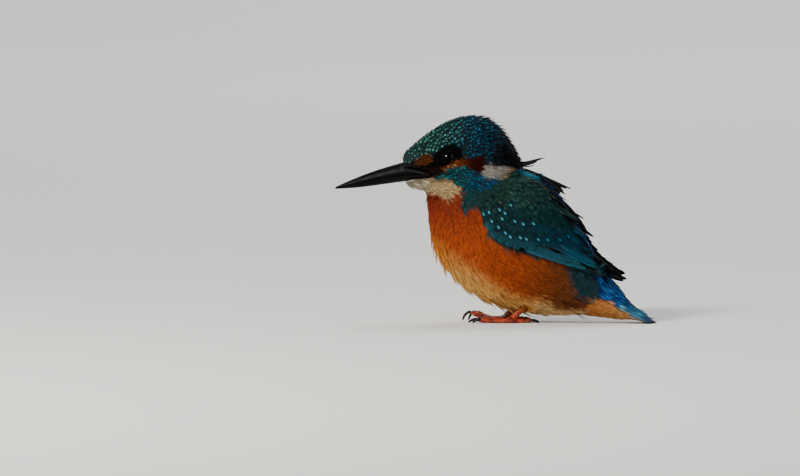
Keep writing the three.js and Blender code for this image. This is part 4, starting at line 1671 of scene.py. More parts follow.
@dataclass
class Boots:
    """Short locks of belly feathers that close round the top of each bare leg."""

    skin: Skin
    plumage: Plumage
    rings: int = 6
    round_count: int = 14
    ring_start: float = -2.4
    ring_gap: float = 0.7
    girth: float = 2.3
    reach: float = 1.3
    size: Triple = (1.0, 2.9, 2.9)
    tone: str = "924618"
    tip: str = "bc7434"
    spot: Triple = (1.0, 0.3, 1.4)
    sunk: float = 0.1
    unruly: float = 0.08
    lift: float = 0.2
    tone_change: float = 0.1

    def build(self) -> None:
        """Grows the locks of both legs as one piece."""
        rng = np.random.default_rng(53)
        roots = Roots.join([self.leg(side, rng) for side in ("left", "right")])
        self.plumage.grow("boot_feathers", VaneKind.LOCK, SOFT, "breast_feathers", roots, 6, size_change=0.15)

    def leg(self, side: str, rng: np.random.Generator) -> Roots:
        """Plants the locks of one leg.

        Args:
            side: left or right.
            rng: the source of chance.

        Returns:
            Their roots.
        """
        heel, axis = self.skin.leg_line(side)
        across = unit(np.cross(axis, np.array([0.0, 1.0, 0.0])))
        points, lies, normals, places = [], [], [], []
        for ring in range(self.rings):
            for step in range(self.round_count):
                turn = 2 * math.pi * (step + 0.5 * (ring % 2)) / self.round_count
                away = across * math.cos(turn) + np.cross(axis, across) * math.sin(turn)
                point = heel + (axis * (self.ring_start + self.ring_gap * ring) + away * self.girth) * MM
                spot, out, place = self.skin.nearest(point)
                if np.linalg.norm(point - spot) > self.reach * MM:
                    continue
                points.append(spot - out * self.sunk * MM)
                normals.append(out)
                down = unit(-axis + rng.normal(0, self.unruly, 3))
                lies.append(unit(down - out * float(down @ out) * (1 - self.lift) + out * self.lift))
                places.append(place)
        change = 1 + jitter(rng, self.tone_change, len(points))
        rows = [np.tile(row, (len(points), 1)) for row in (np.array(self.size) * MM, linear(self.tone),
                                                           linear(self.tip), self.spot)]
        return Roots(np.array(points), np.array(lies), np.array(normals), rows[0], rows[1] * change, rows[2] * change,
                     rows[3], np.array(places), rng.integers(0, FORMS, len(points)))


# ---- Large feathers -----------------------------------------------------------------------------


class Form:
    """The outer surface of some nodes of the frame, to lay large feathers on."""

    facing_out = 0.25
    window = 7

    def __init__(self, names: Sequence[str]) -> None:
        """Joins the nodes into one surface that rays can meet.

        Args:
            names: the nodes.
        """
        points, faces = [], []
        for name in names:
            mesh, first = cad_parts[name].data, len(points)
            points.extend(tuple(v.co) for v in mesh.vertices)
            faces.extend(tuple(first + i for i in p.vertices) for p in mesh.polygons)
        self.tree = BVHTree.FromPolygons(points, faces)

    def even(self, rows: np.ndarray) -> np.ndarray:
        """Averages each row with its neighbours, and keeps the ends in place.

        Args:
            rows: one row to a place of a line.

        Returns:
            As many smoother rows.
        """
        padded = np.vstack([2 * rows[0] - rows[1:4][::-1], rows, 2 * rows[-1] - rows[-4:-1][::-1]])
        window = np.ones(self.window) / self.window
        return np.stack([np.convolve(padded[:, k], window, "valid") for k in range(3)], axis=1)

    def line(self, start: Sequence[float], end: Sequence[float], sink: Pair,
             count: int = 24) -> tuple[np.ndarray, np.ndarray]:
        """Draws a line over the left side of the form.

        Args:
            start: millimetres on the side plane.
            end: millimetres on the side plane.
            sink: how deep the line lies under the surface at its start and its end.
            count: the number of places.

        Returns:
            Places in metres and outward directions.
        """
        spots, outs = [], []
        for share in np.linspace(0, 1, count):
            origin, heading = VIEW.ray(np.array(start) * (1 - share) + np.array(end) * share)
            hit, normal, _, _ = self.tree.ray_cast(origin, heading)
            if hit is None:
                hit, normal, _, _ = self.tree.find_nearest(origin + heading * 0.38)
                origin, heading = np.array(origin), np.array(heading)
                hit = origin + heading * float((np.array(hit) - origin) @ heading)
            spots.append(np.array(hit))
            normal = np.array(normal)
            outs.append(normal if normal @ VIEW.out > self.facing_out else unit(normal + VIEW.out))
        outs = unit(self.even(np.array(outs)))
        return self.even(np.array(spots)) - outs * np.linspace(*sink, count)[:, None] * MM, outs


@dataclass(frozen=True)
class Quill:
    """A large feather with a shaft and two webs, drawn along a line.

    Each corner of its section has its share of the upper and of the lower web's width, its share of
    the thickness, whether it droops, its place across the vane, and its share of the edge's tone.
    """

    upper: float
    lower: float
    tone: str
    edge: str
    tip: str
    thick: float = 0.42
    steps: int = 22
    camber: float = 0.16
    round_from: float = 0.8
    fray: float = 0.1
    taper: float = 0.75

    section = ((-1.0, 0.0, 0.0, 1.0, 0.0, 0.35), (-0.5, 0.0, 0.16, 0.0, 0.25, 0.1), (0.0, 0.0, 0.5, 0.0, 0.5, 0.0),
               (0.0, 0.5, 0.16, 0.0, 0.75, 0.4), (0.0, 1.0, 0.0, 1.0, 1.0, 1.0), (0.0, 0.45, -0.45, 0.0, 0.75, 0.0),
               (-0.45, 0.0, -0.45, 0.0, 0.25, 0.0))
    edges = (0, 4)
    unspotted = (2.0, 1.0, 1.0)
    full_from = 0.4
    blunt = 0.06
    crowding = 1.35
    fray_from = 0.3
    thinning = 0.45
    tip_run = (0.82, 1.0)

    def profile(self, t: float) -> float:
        """Gives the feather's width.

        Args:
            t: a share of its length.

        Returns:
            The share of its full width there.
        """
        narrow = self.taper * 0.4
        root = narrow + (1 - narrow) * min(1.0, t / self.full_from) ** 0.7
        late = max(0.0, (t - self.round_from) / (1 - self.round_from))
        return root * max(self.blunt, math.sqrt(max(0.0, 1 - late ** 2.2)))

    def lay(self, draft: Draft, spots: np.ndarray, outs: np.ndarray, place: np.ndarray,
            rng: np.random.Generator) -> None:
        """Adds the feather to a draft.

        Args:
            draft: the piece so far.
            spots: its line, in metres.
            outs: the outward direction at each place of the line.
            place: its root's place on the skin's map.
            rng: the source of chance for its frayed edges.
        """
        tone, edge, tip = (np.array(linear(code)) for code in (self.tone, self.edge, self.tip))
        source, first, sides = np.linspace(0, 1, len(spots)), len(draft.points), len(self.section)
        tangents, rings = unit(np.gradient(spots, axis=0)), []
        for t in 1 - (1 - np.linspace(0, 1, self.steps + 1)) ** self.crowding:
            p, n, f = (np.array([np.interp(t, source, rows[:, k]) for k in range(3)])
                       for rows in (spots, outs, tangents))
            side = unit(np.cross(f, n))
            half = [w * self.profile(t) * (1 - self.fray * rng.random() * (t > self.fray_from)) * MM
                    for w in (self.upper, self.lower)]
            thin, late = self.thick * MM * (1 - self.thinning * t), float(smooth(*self.tip_run, np.array(t)))
            ring = []
            for upper, lower, height, droop, u, web in self.section:
                x = upper * half[0] + lower * half[1]
                ring.append(p + side * x + n * (height * thin - droop * self.camber * abs(x)))
                draft.vanes.append((u, t))
                draft.tones.append(tuple((tone * (1 - web) + edge * web) * (1 - late) + tip * late))
            rings.append(ring)
        count = len(rings) * sides
        draft.tips += [tuple(edge)] * count
        draft.spots += [self.unspotted] * count
        draft.places += [tuple(place)] * count
        draft.loft(rings)
        draft.sharp |= {(a, a + sides) for i in range(self.steps) for a in (first + sides * i + j for j in self.edges)}


PRIMARY = Quill(1.9, 2.0, "05070a", "0a1420", "040507", round_from=0.72)
BAND = Quill(1.2, 1.4, "183c46", "327084", "1c4c58", round_from=0.84)
STRIPE = Quill(1.2, 1.2, "143848", "2c6c86", "184850", round_from=0.8)
INNER = Quill(2.4, 2.3, "0e2a38", "16465a", "08161f", round_from=0.8)
GREATER = Quill(2.2, 1.8, "163841", "1f535e", "12343c", round_from=0.82)
DARK_LINE = Quill(1.0, 1.0, "030507", "04080b", "020304")
SCAPULAR = Quill(2.3, 2.2, "0a2624", "113632", "081e22", round_from=0.7, fray=0.25)
TAIL_QUILL = Quill(2.1, 1.8, "0f3468", "1a5a9c", "08121e", 0.34, round_from=0.9)
TAIL_OUTER = Quill(2.1, 1.5, "2c6888", "5a9ab0", "0a1420", 0.34, round_from=0.9)

# Each kind of quill with its root's depth, then one row to a feather: its start and end on the side
# plane, and its tip's depth.
WING_ROWS: tuple[tuple[Quill, float, tuple[tuple[float, ...], ...]], ...] = (
    (PRIMARY, 1.9, ((33, 34, 61, 20.3, 1.5), (33, 36, 60, 22.5, 1.3), (34, 38, 57.2, 24.6, 1.1),
                    (34, 40, 54, 26.8, 0.9), (34, 42, 50.8, 29.2, 0.8))),
    (INNER, 1.7, ((22, 45, 50, 28.2, 0.9), (22, 48, 48.4, 31, 0.9), (22, 51, 46.8, 33.4, 0.9))),
    (STRIPE, 1.6, ((30, 36.5, 51.5, 24.6, 0.95),)),
    (STRIPE, 1.2, ((24, 37.4, 48.2, 25.9, 0.45), (24, 39, 47.6, 27.4, 0.42), (24, 40.4, 46.4, 28.6, 0.4))),
    (DARK_LINE, 1.2, ((20, 37.6, 47.4, 24, 0.5),)),
    (BAND, 1.3, ((12, 38.2, 42.8, 25, 0.35), (14, 38.9, 40.4, 27.2, 0.4), (8, 38.4, 38.2, 26.2, 0.4),
                 (10, 38.9, 36, 28.4, 0.45), (6, 38.7, 33.6, 27.6, 0.45), (6, 39.3, 31.4, 30, 0.5),
                 (3, 39.3, 29.4, 29, 0.5), (3, 40, 27, 31.6, 0.55), (1, 40, 25.2, 30.4, 0.55),
                 (0, 40.6, 22.4, 32.4, 0.6))),
    (DARK_LINE, 1.3, ((6, 37.2, 13.5, 33.7, 0.3),)),
    (GREATER, 1.3, ((7, 42.6, 19, 34.2, 0.45), (3, 43, 14.8, 34, 0.45), (0, 44, 11.4, 34.4, 0.45),
                    (-3, 45.4, 7.6, 35.6, 0.45), (-5, 47.4, 3.9, 37.2, 0.45), (-6, 50, 0.6, 39.4, 0.45),
                    (-6.4, 53, -2, 42.6, 0.45))),
    (INNER, 1.4, ((12, 52, 42.6, 33.2, 0.35), (14, 56, 43.6, 36.4, 0.35), (18, 59, 44.6, 39.6, 0.35))),
    (SCAPULAR, 1.3, ((14, 61, 37, 44, 0.2), (10, 60, 32, 44.6, 0.2), (7, 59, 27, 46, 0.2), (5, 57, 22, 47.4, 0.2),
                     (18, 63, 39.6, 48, 0.2))),
)
SPOTS = corners_of("-1.6,47.1 1.6,44.3 4.7,41.8 6.9,40.1 11.6,39.7 14.6,38.8 20.2,38.6 24.6,38.5 30.2,38.5 34.3,39.9"
                   " 3.2,48.3 9.1,47.2 13,45.9 17.7,46.2 -3.3,53.9 -2.9,51.3 -5.4,50.7 1.9,52.6 4.5,51 7.3,54.7")
COVERT_AREA = corners_of("-7,52 -3,56 6,57 14,53 22,50 30,45 36,41 37,35 28,35.5 18,36.5 8,37 0,40.5 -4,45")


@dataclass
class Wings:
    """Both folded wings: quills laid on the wing's form, and small coverts with their spots."""

    skin: Skin
    lie: LieField
    plumage: Plumage
    spacing: float = 1.9
    lift: float = math.radians(7.5)
    flatness: float = 0.6
    ahead: float = 0.82
    nearest_middle: float = 8.0
    plain_size: Triple = (5.2, 3.4, 0.1)
    spotted_size: Triple = (4.6, 3.0, 0.55)
    plain_mark: Triple = (1.0, 0.1, 1.2)
    spotted_mark: Triple = (0.78, 0.25, 0.29)
    tone_change: float = 0.12

    def build(self) -> None:
        """Makes quills and coverts of both sides."""
        self.quills()
        self.coverts()

    def quills(self) -> None:
        """Lays every large feather of the wing, mirrored for the far side."""
        rng, draft = np.random.default_rng(31), Draft()
        form = Form([f"wing_left_{p}" for p in ("scapulars", "coverts", "secondaries", "primaries", "tertials")])
        for quill, root_depth, rows in WING_ROWS:
            for row in rows:
                spots, outs = form.line(row[:2], row[2:4], (root_depth, row[4]))
                quill.lay(draft, spots, outs, self.skin.nearest(spots[0])[2], rng)
        for side, feathers in (("left", draft), ("right", draft.mirrored())):
            name = f"wing_quills_{side}"
            settle(name, feathers.mesh(name), QUILL, [f"wing_{side}_primaries"])

    def coverts(self) -> None:
        """Grows the plain coverts and, over them, the ones with a pale spot."""
        rng = np.random.default_rng(37)
        rows = self.skin.scatter(rng, self.spacing)
        chosen = inside(COVERT_AREA, rows[0]) & (rows[0][:, 1] < -self.nearest_middle * MM)
        rows = [row[chosen] for row in rows]
        chosen = thin_out(rows[0], self.spacing * MM)
        under = [np.array(row) for row in zip(*(self.skin.under(spot) for spot in SPOTS))]
        roots = Roots.join([self.rows(*(row[chosen] for row in rows), rng, spotted=False),
                            self.rows(*under, rng, spotted=True)])
        for side, feathers in (("left", roots), ("right", roots.mirrored())):
            self.plumage.grow(f"wing_coverts_{side}", VaneKind.COVERT, GLOSSY, "wing_feathers", feathers, 5, 0.05)

    def rows(self, points: np.ndarray, normals: np.ndarray, places: np.ndarray, rng: np.random.Generator, *,
             spotted: bool) -> Roots:
        """Makes coverts at given places.

        Args:
            points: where each feather shows, in metres.
            normals: outward directions there.
            places: places on the skin's map.
            rng: the source of chance.
            spotted: whether each has a pale spot at its place.

        Returns:
            Their roots.
        """
        count, lies, look = len(points), self.lie.at(points, normals), VIEW.flatten(points)
        length, width, height = self.spotted_size if spotted else self.plain_size
        roots = points - lies * length * self.ahead * MM + normals * height * MM
        tone = shade("0a2c30", "082d3a", look, (0, 50), (34, 38)) * (1 + jitter(rng, self.tone_change, count))
        tip = shade("4aa8c0", "206a92", look, (14, 45), (32, 40)) if spotted else tone * 1.35
        spot = self.spotted_mark if spotted else self.plain_mark
        return Roots(roots, lies * math.cos(self.lift) + normals * math.sin(self.lift) * self.flatness, normals,
                     np.tile(np.array([width, length, length]) * MM, (count, 1)), tone, tip, np.tile(spot, (count, 1)),
                     places, rng.integers(0, FORMS, count))


@dataclass
class TailFan:
    """Twelve tail feathers in one shallow roof, resting on the floor at their tips."""

    skin: Skin
    pairs: int = 6
    root: Pair = (44.0, 17.0)
    tip: Pair = (77.0, 0.55)
    half_widths: Pair = (4.6, 8.4)
    rests_from: float = 0.965
    level: float = 0.09
    lowest: float = 0.22
    shorter: float = 0.085
    uneven: float = 0.004
    roof: float = 1.2
    arch: float = 0.25
    lean: float = 0.13

    def build(self) -> None:
        """Lays the feathers from the outermost and lowest to the central pair."""
        rng, draft = np.random.default_rng(41), Draft()
        for number in reversed(range(self.pairs)):
            for side in (-1, 1):
                self.feather(draft, number, side, rng)
        settle("tail_feathers", draft.mesh("tail_feathers"), QUILL, ["tail"])

    def feather(self, draft: Draft, number: int, side: int, rng: np.random.Generator) -> None:
        """Lays one tail feather.

        Args:
            draft: the tail so far.
            number: its place counted from the middle.
            side: -1 for left, 1 for right.
            rng: the source of chance.
        """
        across = (number + 0.5) / self.pairs
        along = np.linspace(0, 1 - self.shorter * across ** 2 - self.uneven * (side > 0), 24)
        (x0, z0), (x1, z1) = self.root, self.tip
        fall = np.maximum(0, 1 - along / self.rests_from)
        y = side * across * (self.half_widths[0] * (1 - along) + self.half_widths[1] * along)
        z = z1 + (z0 - z1) * fall - across ** 2 * self.roof * fall - self.level * number + self.arch * fall
        spots = np.stack([x0 + (x1 - x0) * along, y, np.maximum(z, self.lowest)], axis=1) * MM
        slope = math.atan2(z0 - z1, x1 - x0)
        out = np.array([math.sin(slope), side * self.lean * across, math.cos(slope)])
        outs = unit(np.outer(fall > 0.01, out) + np.outer(fall <= 0.01, np.array([0.15, 0, 1.0])))
        quill = TAIL_OUTER if number == self.pairs - 1 else TAIL_QUILL
        if side < 0:
            quill = replace(quill, upper=quill.lower, lower=quill.upper)
        quill.lay(draft, spots, outs, self.skin.nearest(spots[0])[2], rng)


@dataclass(frozen=True)
class Wisp:
    """One loose, thin feather: its line on the side plane, and its distance from the middle."""

    line: str
    aside: float
    width: float
    tip: str
    tone: str = "07090c"


# Painted shade: the nape and back wisps are near black, as the far edge of the head and back lies in shade.
WISPS: tuple[Wisp, ...] = (
    Wisp("8,77.4 12.5,75.4 17,76.2 20.5,77.3 23.6,77.7", 1.0, 0.55, "15181d", "0a0c10"),
    Wisp("8,76.6 12.5,74.7 16.5,75.3 19.6,76.6 21.8,77.2", 2.0, 0.6, "101318", "0a0c10"),
    Wisp("8,76 12,74.2 15,74.4 17.8,75.2 19.6,76", 3.0, 0.55, "14171c", "0a0c10"),
    Wisp("9,75 12.5,73.8 15,73.6 17.2,73.9 18.8,74.6", 0.2, 0.4, "1a1d22", "0a0c10"),
    Wisp("14,72.6 20.5,69.8 26,67.2 31,65 36,62.9", 0.5, 0.9, "14161a"),
    Wisp("13,72.4 19,69.8 24.5,67 29,64.8 33.4,63", -1.2, 1.0, "101216"),
    Wisp("18,70 23.5,67.2 27.5,64.6 30.6,62.2 33,60.4", 1.8, 0.9, "15171b"),
    Wisp("12,71.6 18,69 23.5,66 27.5,63.3 30.6,60.8", 0.6, 1.3, "101216"),
    Wisp("16,71.2 22,68.2 26.5,65.6 29.6,63.4 31.6,61.6", -2.4, 0.9, "15171b"),
    Wisp("30,59.5 34.6,54.8 38.4,50.2 41.2,46.4 43.4,42.9", 0.5, 0.7, "101216", "06080b"),
    Wisp("30,58.4 34,54 37.4,49.8 39.9,46.4 41.8,43.8", -1.0, 0.9, "14161a", "06080b"),
    Wisp("30,57.4 34.2,52.6 37.2,48.8 39.2,46 40.6,44", 2.0, 0.9, "101216", "06080b"),
    Wisp("34,6.5 37,4.6 39.2,3.2 40.8,2 42,1.2", 7.0, 0.24, "1a1410", "2b2018"),
    Wisp("36,6 38.6,4.4 40.6,3 42.2,1.9 43.6,1.3", 6.0, 0.2, "1a1410", "30261c"),
)


@dataclass
class Wisps:
    """Loose feathers that stand away from nape, back and vent."""

    skin: Skin
    steps: int = 20

    def build(self) -> None:
        """Lays every loose feather."""
        rng, draft = np.random.default_rng(43), Draft()
        for wisp in WISPS:
            path = self.path(wisp)
            outs = np.tile(VIEW.out * 0.8 + VIEW.up * 0.6, (self.steps, 1))
            quill = Quill(wisp.width, wisp.width, wisp.tone, wisp.tone, wisp.tip, 0.3, 16, round_from=0.35)
            quill.lay(draft, path, outs, self.skin.nearest(path[0])[2], rng)
        settle("loose_feathers", draft.mesh("loose_feathers"), SOFT)

    def path(self, wisp: Wisp) -> np.ndarray:
        """Draws one loose feather's line through space.

        Args:
            wisp: the feather.

        Returns:
            Places in metres.
        """
        flat, aside = corners_of(wisp.line), abs(wisp.aside)
        x = (flat[:, 0] + aside * VIEW.right[1]) / VIEW.right[0]
        z = (flat[:, 1] - x * VIEW.up[0] + aside * VIEW.up[1]) / VIEW.up[2]
        knots = np.stack([x, np.full(len(x), -wisp.aside), z], axis=1) * MM
        fine = np.linspace(0, len(knots) - 1, self.steps)
        path = np.stack([np.interp(fine, range(len(knots)), knots[:, k]) for k in range(3)], axis=1)
        for _ in range(3):
            path[1:-1] = (path[:-2] + 2 * path[1:-1] + path[2:]) / 4
        return path


# ---- Bill, eyes, legs and claws -----------------------------------------------------------------

# Along the bird, height of the ridge, of the cutting edge and of the lower edge, and half width.
BILL_STATIONS = np.array((
    (-76.9, 63.5, 63.05, 62.6, 0.5), (-74.0, 64.9, 63.6, 62.75, 1.05), (-69.5, 66.9, 64.6, 63.0, 1.8),
    (-63.4, 69.4, 65.9, 63.6, 2.6), (-57.4, 71.6, 67.1, 64.4, 3.2), (-50.5, 73.8, 68.5, 65.4, 3.9),
    (-43.5, 75.8, 69.8, 66.4, 4.8), (-38.0, 74.9, 70.3, 67.2, 6.9), (-33.0, 73.2, 70.0, 68.0, 8.6),
    (-29.6, 71.3, 69.7, 68.9, 9.3)))


@dataclass(frozen=True)
class Mandible:
    """One half of the bill: how its section is pinched, set in, stepped, rounded and pierced."""

    name: str
    pinch: float
    pinch_round: float
    width_share: float
    inset: float
    inner_share: float
    step: float
    roundness: float
    nostril: float


UPPER = Mandible("bill_upper", 0.12, 0.85, 1.0, 0.0, 0.86, 0.22, 0.85, 0.16)
LOWER = Mandible("bill_lower", 0.1, 1.0, 0.93, 0.05, 0.8, 0.18, 0.8, 0.0)


@dataclass
class Bill:
    """Two horn mandibles with a ridge, a cutting edge, nostrils and a short inner step."""

    steps: int = 60
    sides: int = 14
    crowding: float = 1.15
    shut: float = 0.05
    nostril: Pair = (-44.5, 72.6)
    nostril_size: Pair = (1.6, 0.5)
    finish: Finish = HornFinish("bill_horn", "050506", "26100b", (-36.0, -30.0), specular=0.06)

    def build(self) -> None:
        """Makes both mandibles."""
        for half in (UPPER, LOWER):
            draft = Draft()
            draft.loft([self.section(share, half) for share in np.linspace(0, 1, self.steps)])
            settle(f"{half.name}_horn", draft.mesh(half.name), self.finish, [half.name])

    def section(self, share: float, half: Mandible) -> np.ndarray:
        """Gives one ring of a mandible.

        Args:
            share: how far from the tip to the gape.
            half: the mandible.

        Returns:
            The ring's points in metres.
        """
        first, last = BILL_STATIONS[0, 0], BILL_STATIONS[-1, 0]
        x = first + (last - first) * share ** self.crowding
        culmen, edge, gonys, width = (np.interp(x, BILL_STATIONS[:, 0], BILL_STATIONS[:, k]) for k in range(1, 5))
        outside = np.linspace(0, math.pi, self.sides)
        within, width = outside[1:-1][::-1], half.width_share * width - half.inset
        height = (culmen if half is UPPER else gonys) - edge
        y = np.concatenate([-width * np.cos(outside) * (1 - half.pinch * np.sin(outside) ** half.pinch_round),
                            -width * half.inner_share * np.cos(within)])
        z = np.concatenate([edge - self.shut + height * np.sin(outside) ** half.roundness,
                            edge + half.step * (culmen - edge) * np.sin(within)])
        gap = np.hypot((x - self.nostril[0]) / self.nostril_size[0], (z - self.nostril[1]) / self.nostril_size[1])
        y *= 1 - half.nostril * np.exp(-gap ** 2)
        return np.stack([np.full(len(y), x), y, z], axis=1) * MM


@dataclass
class Eyes:
    """Two wet eyes, each with a ring of bare lid."""

    radius: float = 3.55
    outward: Triple = (-0.30, 0.94, 0.10)
    rings: int = 32
    sides: int = 40
    lid_radius: float = 3.0
    lid_thickness: float = 0.36
    lid_steps: int = 72
    lid_sides: int = 10
    lid_height: float = 0.12
    pointed: float = 0.10
    flattened: float = 0.96
    beads: int = 26
    bead_share: float = 0.14
    cornea: Pair = (0.05, 0.55)
    iris_reach: float = 0.95
    lid_finish: Finish = HornFinish("eyelid", "030303", "060505", (-90, -80), 0.8, 2400.0, 0.02)

    def build(self) -> None:
        """Makes both eyes and both lids."""
        for side, sign in (("left", -1), ("right", 1)):
            low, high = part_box(f"eye_{side}")
            axis = unit(np.array(self.outward) * np.array([1, sign, 1]))
            level = unit(np.cross(np.array([0.0, 0.0, 1.0]), axis))
            place = (np.array((low + high) / 2), axis, level, np.cross(axis, level))
            self.ball(side, *place)
            self.lid(side, *place)

    def ball(self, side: str, centre: np.ndarray, axis: np.ndarray, level: np.ndarray, rise: np.ndarray) -> None:
        """Makes one eyeball, its iris marked by the distance from its axis.

        Args:
            side: left or right.
            centre: the ball's middle in metres.
            axis: the direction it looks in.
            level: the level direction square to it.
            rise: the direction square to both.
        """
        draft, iris, rings = Draft(), [], []
        turns = np.linspace(0, 2 * math.pi, self.sides, endpoint=False)[:, None]
        for k in range(1, self.rings):
            bend = math.pi * k / self.rings
            swell = 1 + self.cornea[0] * math.exp(-(bend / self.cornea[1]) ** 2)
            rings.append(centre + self.radius * MM * swell * (axis * math.cos(bend) + math.sin(bend) * (
                level * np.cos(turns) + rise * np.sin(turns))))
            iris.extend([min(1.0, bend / self.iris_reach)] * self.sides)
        draft.loft(rings)
        mesh = draft.mesh(f"eyeball_{side}")
        store(mesh, "iris", "FLOAT", iris)
        settle(mesh.name, mesh, EyeFinish(), [f"eye_{side}"])

    def lid(self, side: str, centre: np.ndarray, axis: np.ndarray, level: np.ndarray, rise: np.ndarray) -> None:
        """Makes the bare, beaded rim of one eye.

        Args:
            side: left or right.
            centre: the eyeball's middle.
            axis: the direction it looks in.
            level: the level direction square to it.
            rise: the direction square to both.
        """
        out, rings = math.sqrt(self.radius ** 2 - self.lid_radius ** 2) + self.lid_height, []
        turns = np.linspace(0, 2 * math.pi, self.lid_sides, endpoint=False)[:, None]
        for a in np.linspace(0, 2 * math.pi, self.lid_steps, endpoint=False):
            pointed = 1 + self.pointed * abs(math.cos(a)) ** 6
            away = level * math.cos(a) * pointed + rise * math.sin(a) * self.flattened
            middle = centre + (axis * (out - 0.5 * (pointed - 1) * self.radius) + away * self.lid_radius) * MM
            bead = self.lid_thickness * (1 + self.bead_share * math.sin(a * self.beads)) * MM
            rings.append(middle + bead * (unit(away) * np.cos(turns) + axis * 0.8 * np.sin(turns)))
        draft = Draft()
        draft.loft(rings, cap=False)
        settle(f"eyelid_{side}", draft.mesh(f"eyelid_{side}"), self.lid_finish)


@dataclass
class Feet:
    """Bare legs and toes with their scutes, and the claws."""

    toes: tuple[str, ...] = ("inner", "middle", "outer", "hind")
    swell: float = 0.19
    pitch: float = 0.21
    soften: int = 3
    scute: float = 1.05
    groove: float = 0.22
    slope: float = 0.35
    pad: float = 2.9
    pad_height: float = 0.12
    relief: float = 0.1
    cuts: int = 14
    steps: int = 80
    lowest: float = 0.08
    claw_swell: float = 0.28
    claw_lowest: float = 0.05
    claw_finish: Finish = HornFinish("claw_horn", "0d0c0e", "1c1412", (-90, -80), 0.3, 1500.0)

    def build(self) -> None:
        """Makes both feet and their claws."""
        for side in ("left", "right"):
            self.foot(side)
            self.claws(side)

    def spine(self, name: str) -> tuple[np.ndarray, np.ndarray]:
        """Draws the middle line of a toe or a shank.

        Args:
            name: the node of the frame.

        Returns:
            Places in metres and the millimetres run to each.
        """
        nodes = read(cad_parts[name].data.vertices, "co")
        key = nodes[:, 0] if name.startswith("toe") else nodes[:, 0] + nodes[:, 2]
        cuts = np.linspace(key.min(), key.max(), self.cuts)
        middles = np.array([nodes[np.abs(key - c) < (cuts[1] - cuts[0])].mean(axis=0) for c in cuts])
        length = np.concatenate([[0], np.cumsum(np.linalg.norm(np.diff(middles, axis=0), axis=1))])
        fine = np.linspace(0, length[-1], self.steps)
        return np.stack([np.interp(fine, length, middles[:, k]) for k in range(3)], axis=1), fine / MM

    def foot(self, side: str) -> None:
        """Fuses one tarsus with its toes and cuts the scutes into them.

        Args:
            side: left or right.
        """
        names = [f"tarsus_{side}", *(f"toe_{side}_{toe}" for toe in self.toes)]
        mesh = fuse(names, self.swell, self.pitch, self.soften)
        line, run = (np.concatenate(rows) for rows in zip(*(self.spine(name) for name in names)))
        tree = tree_of(line)
        points, normals = read(mesh.vertices, "co"), read(mesh.vertices, "normal")
        along = np.array([run[tree.find(p)[1]] for p in points])
        phase, top = (along / self.scute) % 1.0, smooth(-0.35, 0.35, normals[:, 2])
        groove = 1 - smooth(0.0, self.groove, np.minimum(phase, 1 - phase) * 2)
        pad = (0.5 + 0.5 * np.sin(along * 2 * math.pi / self.pad)) * (1 - top)
        change = self.relief * (self.slope * phase - groove) * top + self.pad_height * pad - 0.02 * groove
        moved = points + normals * change[:, None] * MM
        moved[:, 2] = np.maximum(moved[:, 2], self.lowest * MM)
        mesh.vertices.foreach_set("co", moved.ravel())
        store(mesh, "crease", "FLOAT", groove * (0.3 + 0.7 * top))
        mesh.update()
        settle(f"foot_{side}", mesh, LegFinish(), names)

    def claws(self, side: str) -> None:
        """Smooths the four claws of one foot.

        Args:
            side: left or right.
        """
        names = [f"claw_{side}_{toe}" for toe in self.toes]
        mesh = swollen(names, self.claw_swell)
        for vertex in mesh.vertices:
            vertex.co.z = max(vertex.co.z, self.claw_lowest * MM)
        settle(f"claws_{side}", shaped(mesh, ("SUBSURF", {"levels": 2})), self.claw_finish, names)


# ---- Studio -------------------------------------------------------------------------------------


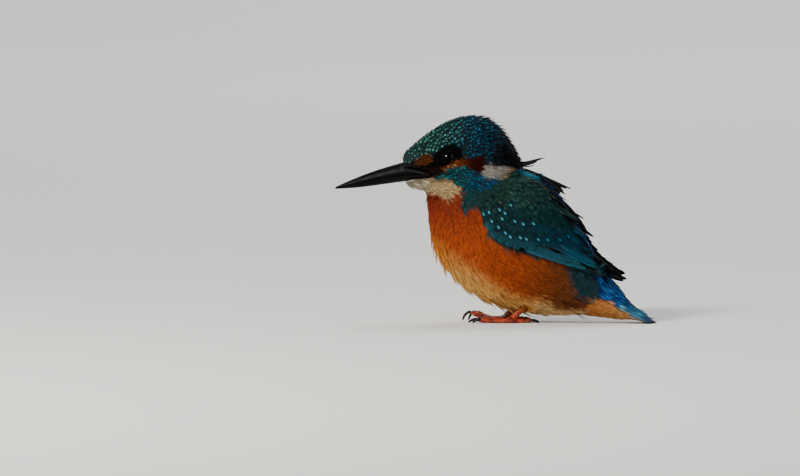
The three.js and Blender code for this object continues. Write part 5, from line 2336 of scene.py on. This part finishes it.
@dataclass
class Studio:
    """Pale paper, soft lights and the long lens."""

    distance: float = 4.0
    lens: float = 379.0
    aim: Pair = (-45.3, 39.7)
    half_width: float = 6.0
    bend_from: float = 4.4
    bend_radius: float = 0.8
    catch_way: Triple = (0.156, 0.438, 0.885)
    catch_distance: float = 1.1
    catch_height: float = 0.08
    catch_size: float = 0.21
    catch_power: float = 230.0
    lamps: tuple[tuple[str, Triple, Triple, float, float, Triple], ...] = (
        ("key", (-0.75, -0.95, 0.85), (0, 0, 0.05), 0.3, 22.0, (1.0, 0.95, 0.86)),
        ("fill", (0.9, -1.4, 0.6), (0, 0, 0.05), 1.2, 2.0, (0.9, 0.95, 1.0)),
        ("back", (0.5, 1.2, 1.2), (0, 0, 0.05), 0.8, 3.0, (0.95, 0.98, 1.0)),
        ("paper", (0.0, 3.0, 3.6), (0, 3.6, 0.0), 3.0, 110.0, (1.0, 0.99, 0.96)))

    def build(self) -> None:
        """Sets up paper, lights, world and camera."""
        self.paper()
        for name, place, aim, size, power, tint in self.lamps:
            self.lamp(name, Vector(place), Vector(aim) - Vector(place), size, power, tint)
        self.catch()
        world = bpy.data.worlds.new("studio")
        world.use_nodes = True
        Board(world.node_tree).fill(world.node_tree.nodes["Background"], {0: (0.80, 0.84, 0.9, 1), 1: 0.5})
        bpy.context.scene.world = world
        self.camera()

    def paper(self) -> None:
        """Lays the floor and bends it up behind the bird."""
        bend = [(self.bend_from + self.bend_radius * math.sin(a), self.bend_radius * (1 - math.cos(a)))
                for a in np.linspace(0.15, 1.4, 9)]
        profile = [(-self.half_width, 0.0), (self.bend_from, 0.0), *bend, (5.25, 1.2), (5.3, 5.0)]
        points = [(x, y, z) for y, z in profile for x in (-self.half_width, self.half_width)]
        mesh = bpy.data.meshes.new("paper")
        mesh.from_pydata(points, [], [(i, i + 1, i + 3, i + 2) for i in range(0, len(points) - 2, 2)])
        mesh.materials.append(StudioFinish().material())
        sheet = bpy.data.objects.new("paper", soften_shading(mesh))
        bpy.context.scene.collection.objects.link(sheet)

    @staticmethod
    def lamp(name: str, place: Vector, way: Vector, size: float, power: float,
             tint: Triple = (1.0, 1.0, 1.0)) -> bpy.types.Object:
        """Hangs one soft lamp.

        Args:
            name: its name.
            place: where it hangs, in metres.
            way: the direction it shines in.
            size: its side in metres.
            power: its watts.
            tint: its colour.

        Returns:
            The lamp.
        """
        light = bpy.data.lights.new(name, "AREA")
        light.size, light.energy, light.color = size, power, tint
        lamp = bpy.data.objects.new(name, light)
        lamp.location, lamp.rotation_euler = place, facing(way)
        bpy.context.scene.collection.objects.link(lamp)
        return lamp

    def catch(self) -> None:
        """Hangs the small lamp that only the eyes reflect."""
        heading = unit(np.array(self.catch_way) @ np.array([VIEW.right, VIEW.up, VIEW.out]))
        place = Vector(heading * self.catch_distance) + Vector((0, 0, self.catch_height))
        lamp = self.lamp("catch", place, Vector(-heading), self.catch_size, self.catch_power)
        eyes = bpy.data.collections.new("lit_by_catch")
        for side in ("left", "right"):
            eyes.objects.link(bpy.data.objects[f"eyeball_{side}"])
        lamp.light_linking.receiver_collection = eyes
        lamp.visible_diffuse = False

    def camera(self) -> None:
        """Points the long lens a little from behind and above."""
        lens = bpy.data.cameras.new("camera")
        lens.lens, lens.sensor_width, lens.clip_end = self.lens, 36.0, 50.0
        camera = bpy.data.objects.new("camera", lens)
        camera.location = Vector(VIEW.place(self.aim) + VIEW.out * self.distance)
        camera.rotation_euler = facing(Vector(-VIEW.out))
        bpy.context.scene.collection.objects.link(camera)
        bpy.context.scene.camera = camera


def main() -> None:
    """Builds the bird and its studio."""
    logging.basicConfig(level=logging.INFO, format="%(message)s")
    markings, lie = Markings(), LieField()
    panels = [f"wing_{side}_{panel}" for side in ("left", "right")
              for panel in ("scapulars", "coverts", "secondaries", "tertials")]
    skin = Skin(("head", "neck", "trunk", "rump", "undertail", "thigh_left", "thigh_right", *panels))
    skin.build(markings)
    plumage = Plumage(VaneCase())
    Coat(skin, markings, lie, plumage).build()
    Boots(skin, plumage).build()
    Wings(skin, lie, plumage).build()
    TailFan(skin).build()
    Wisps(skin).build()
    Bill().build()
    Eyes().build()
    Feet().build()
    Studio().build()


if __name__ == "__main__":
    main()
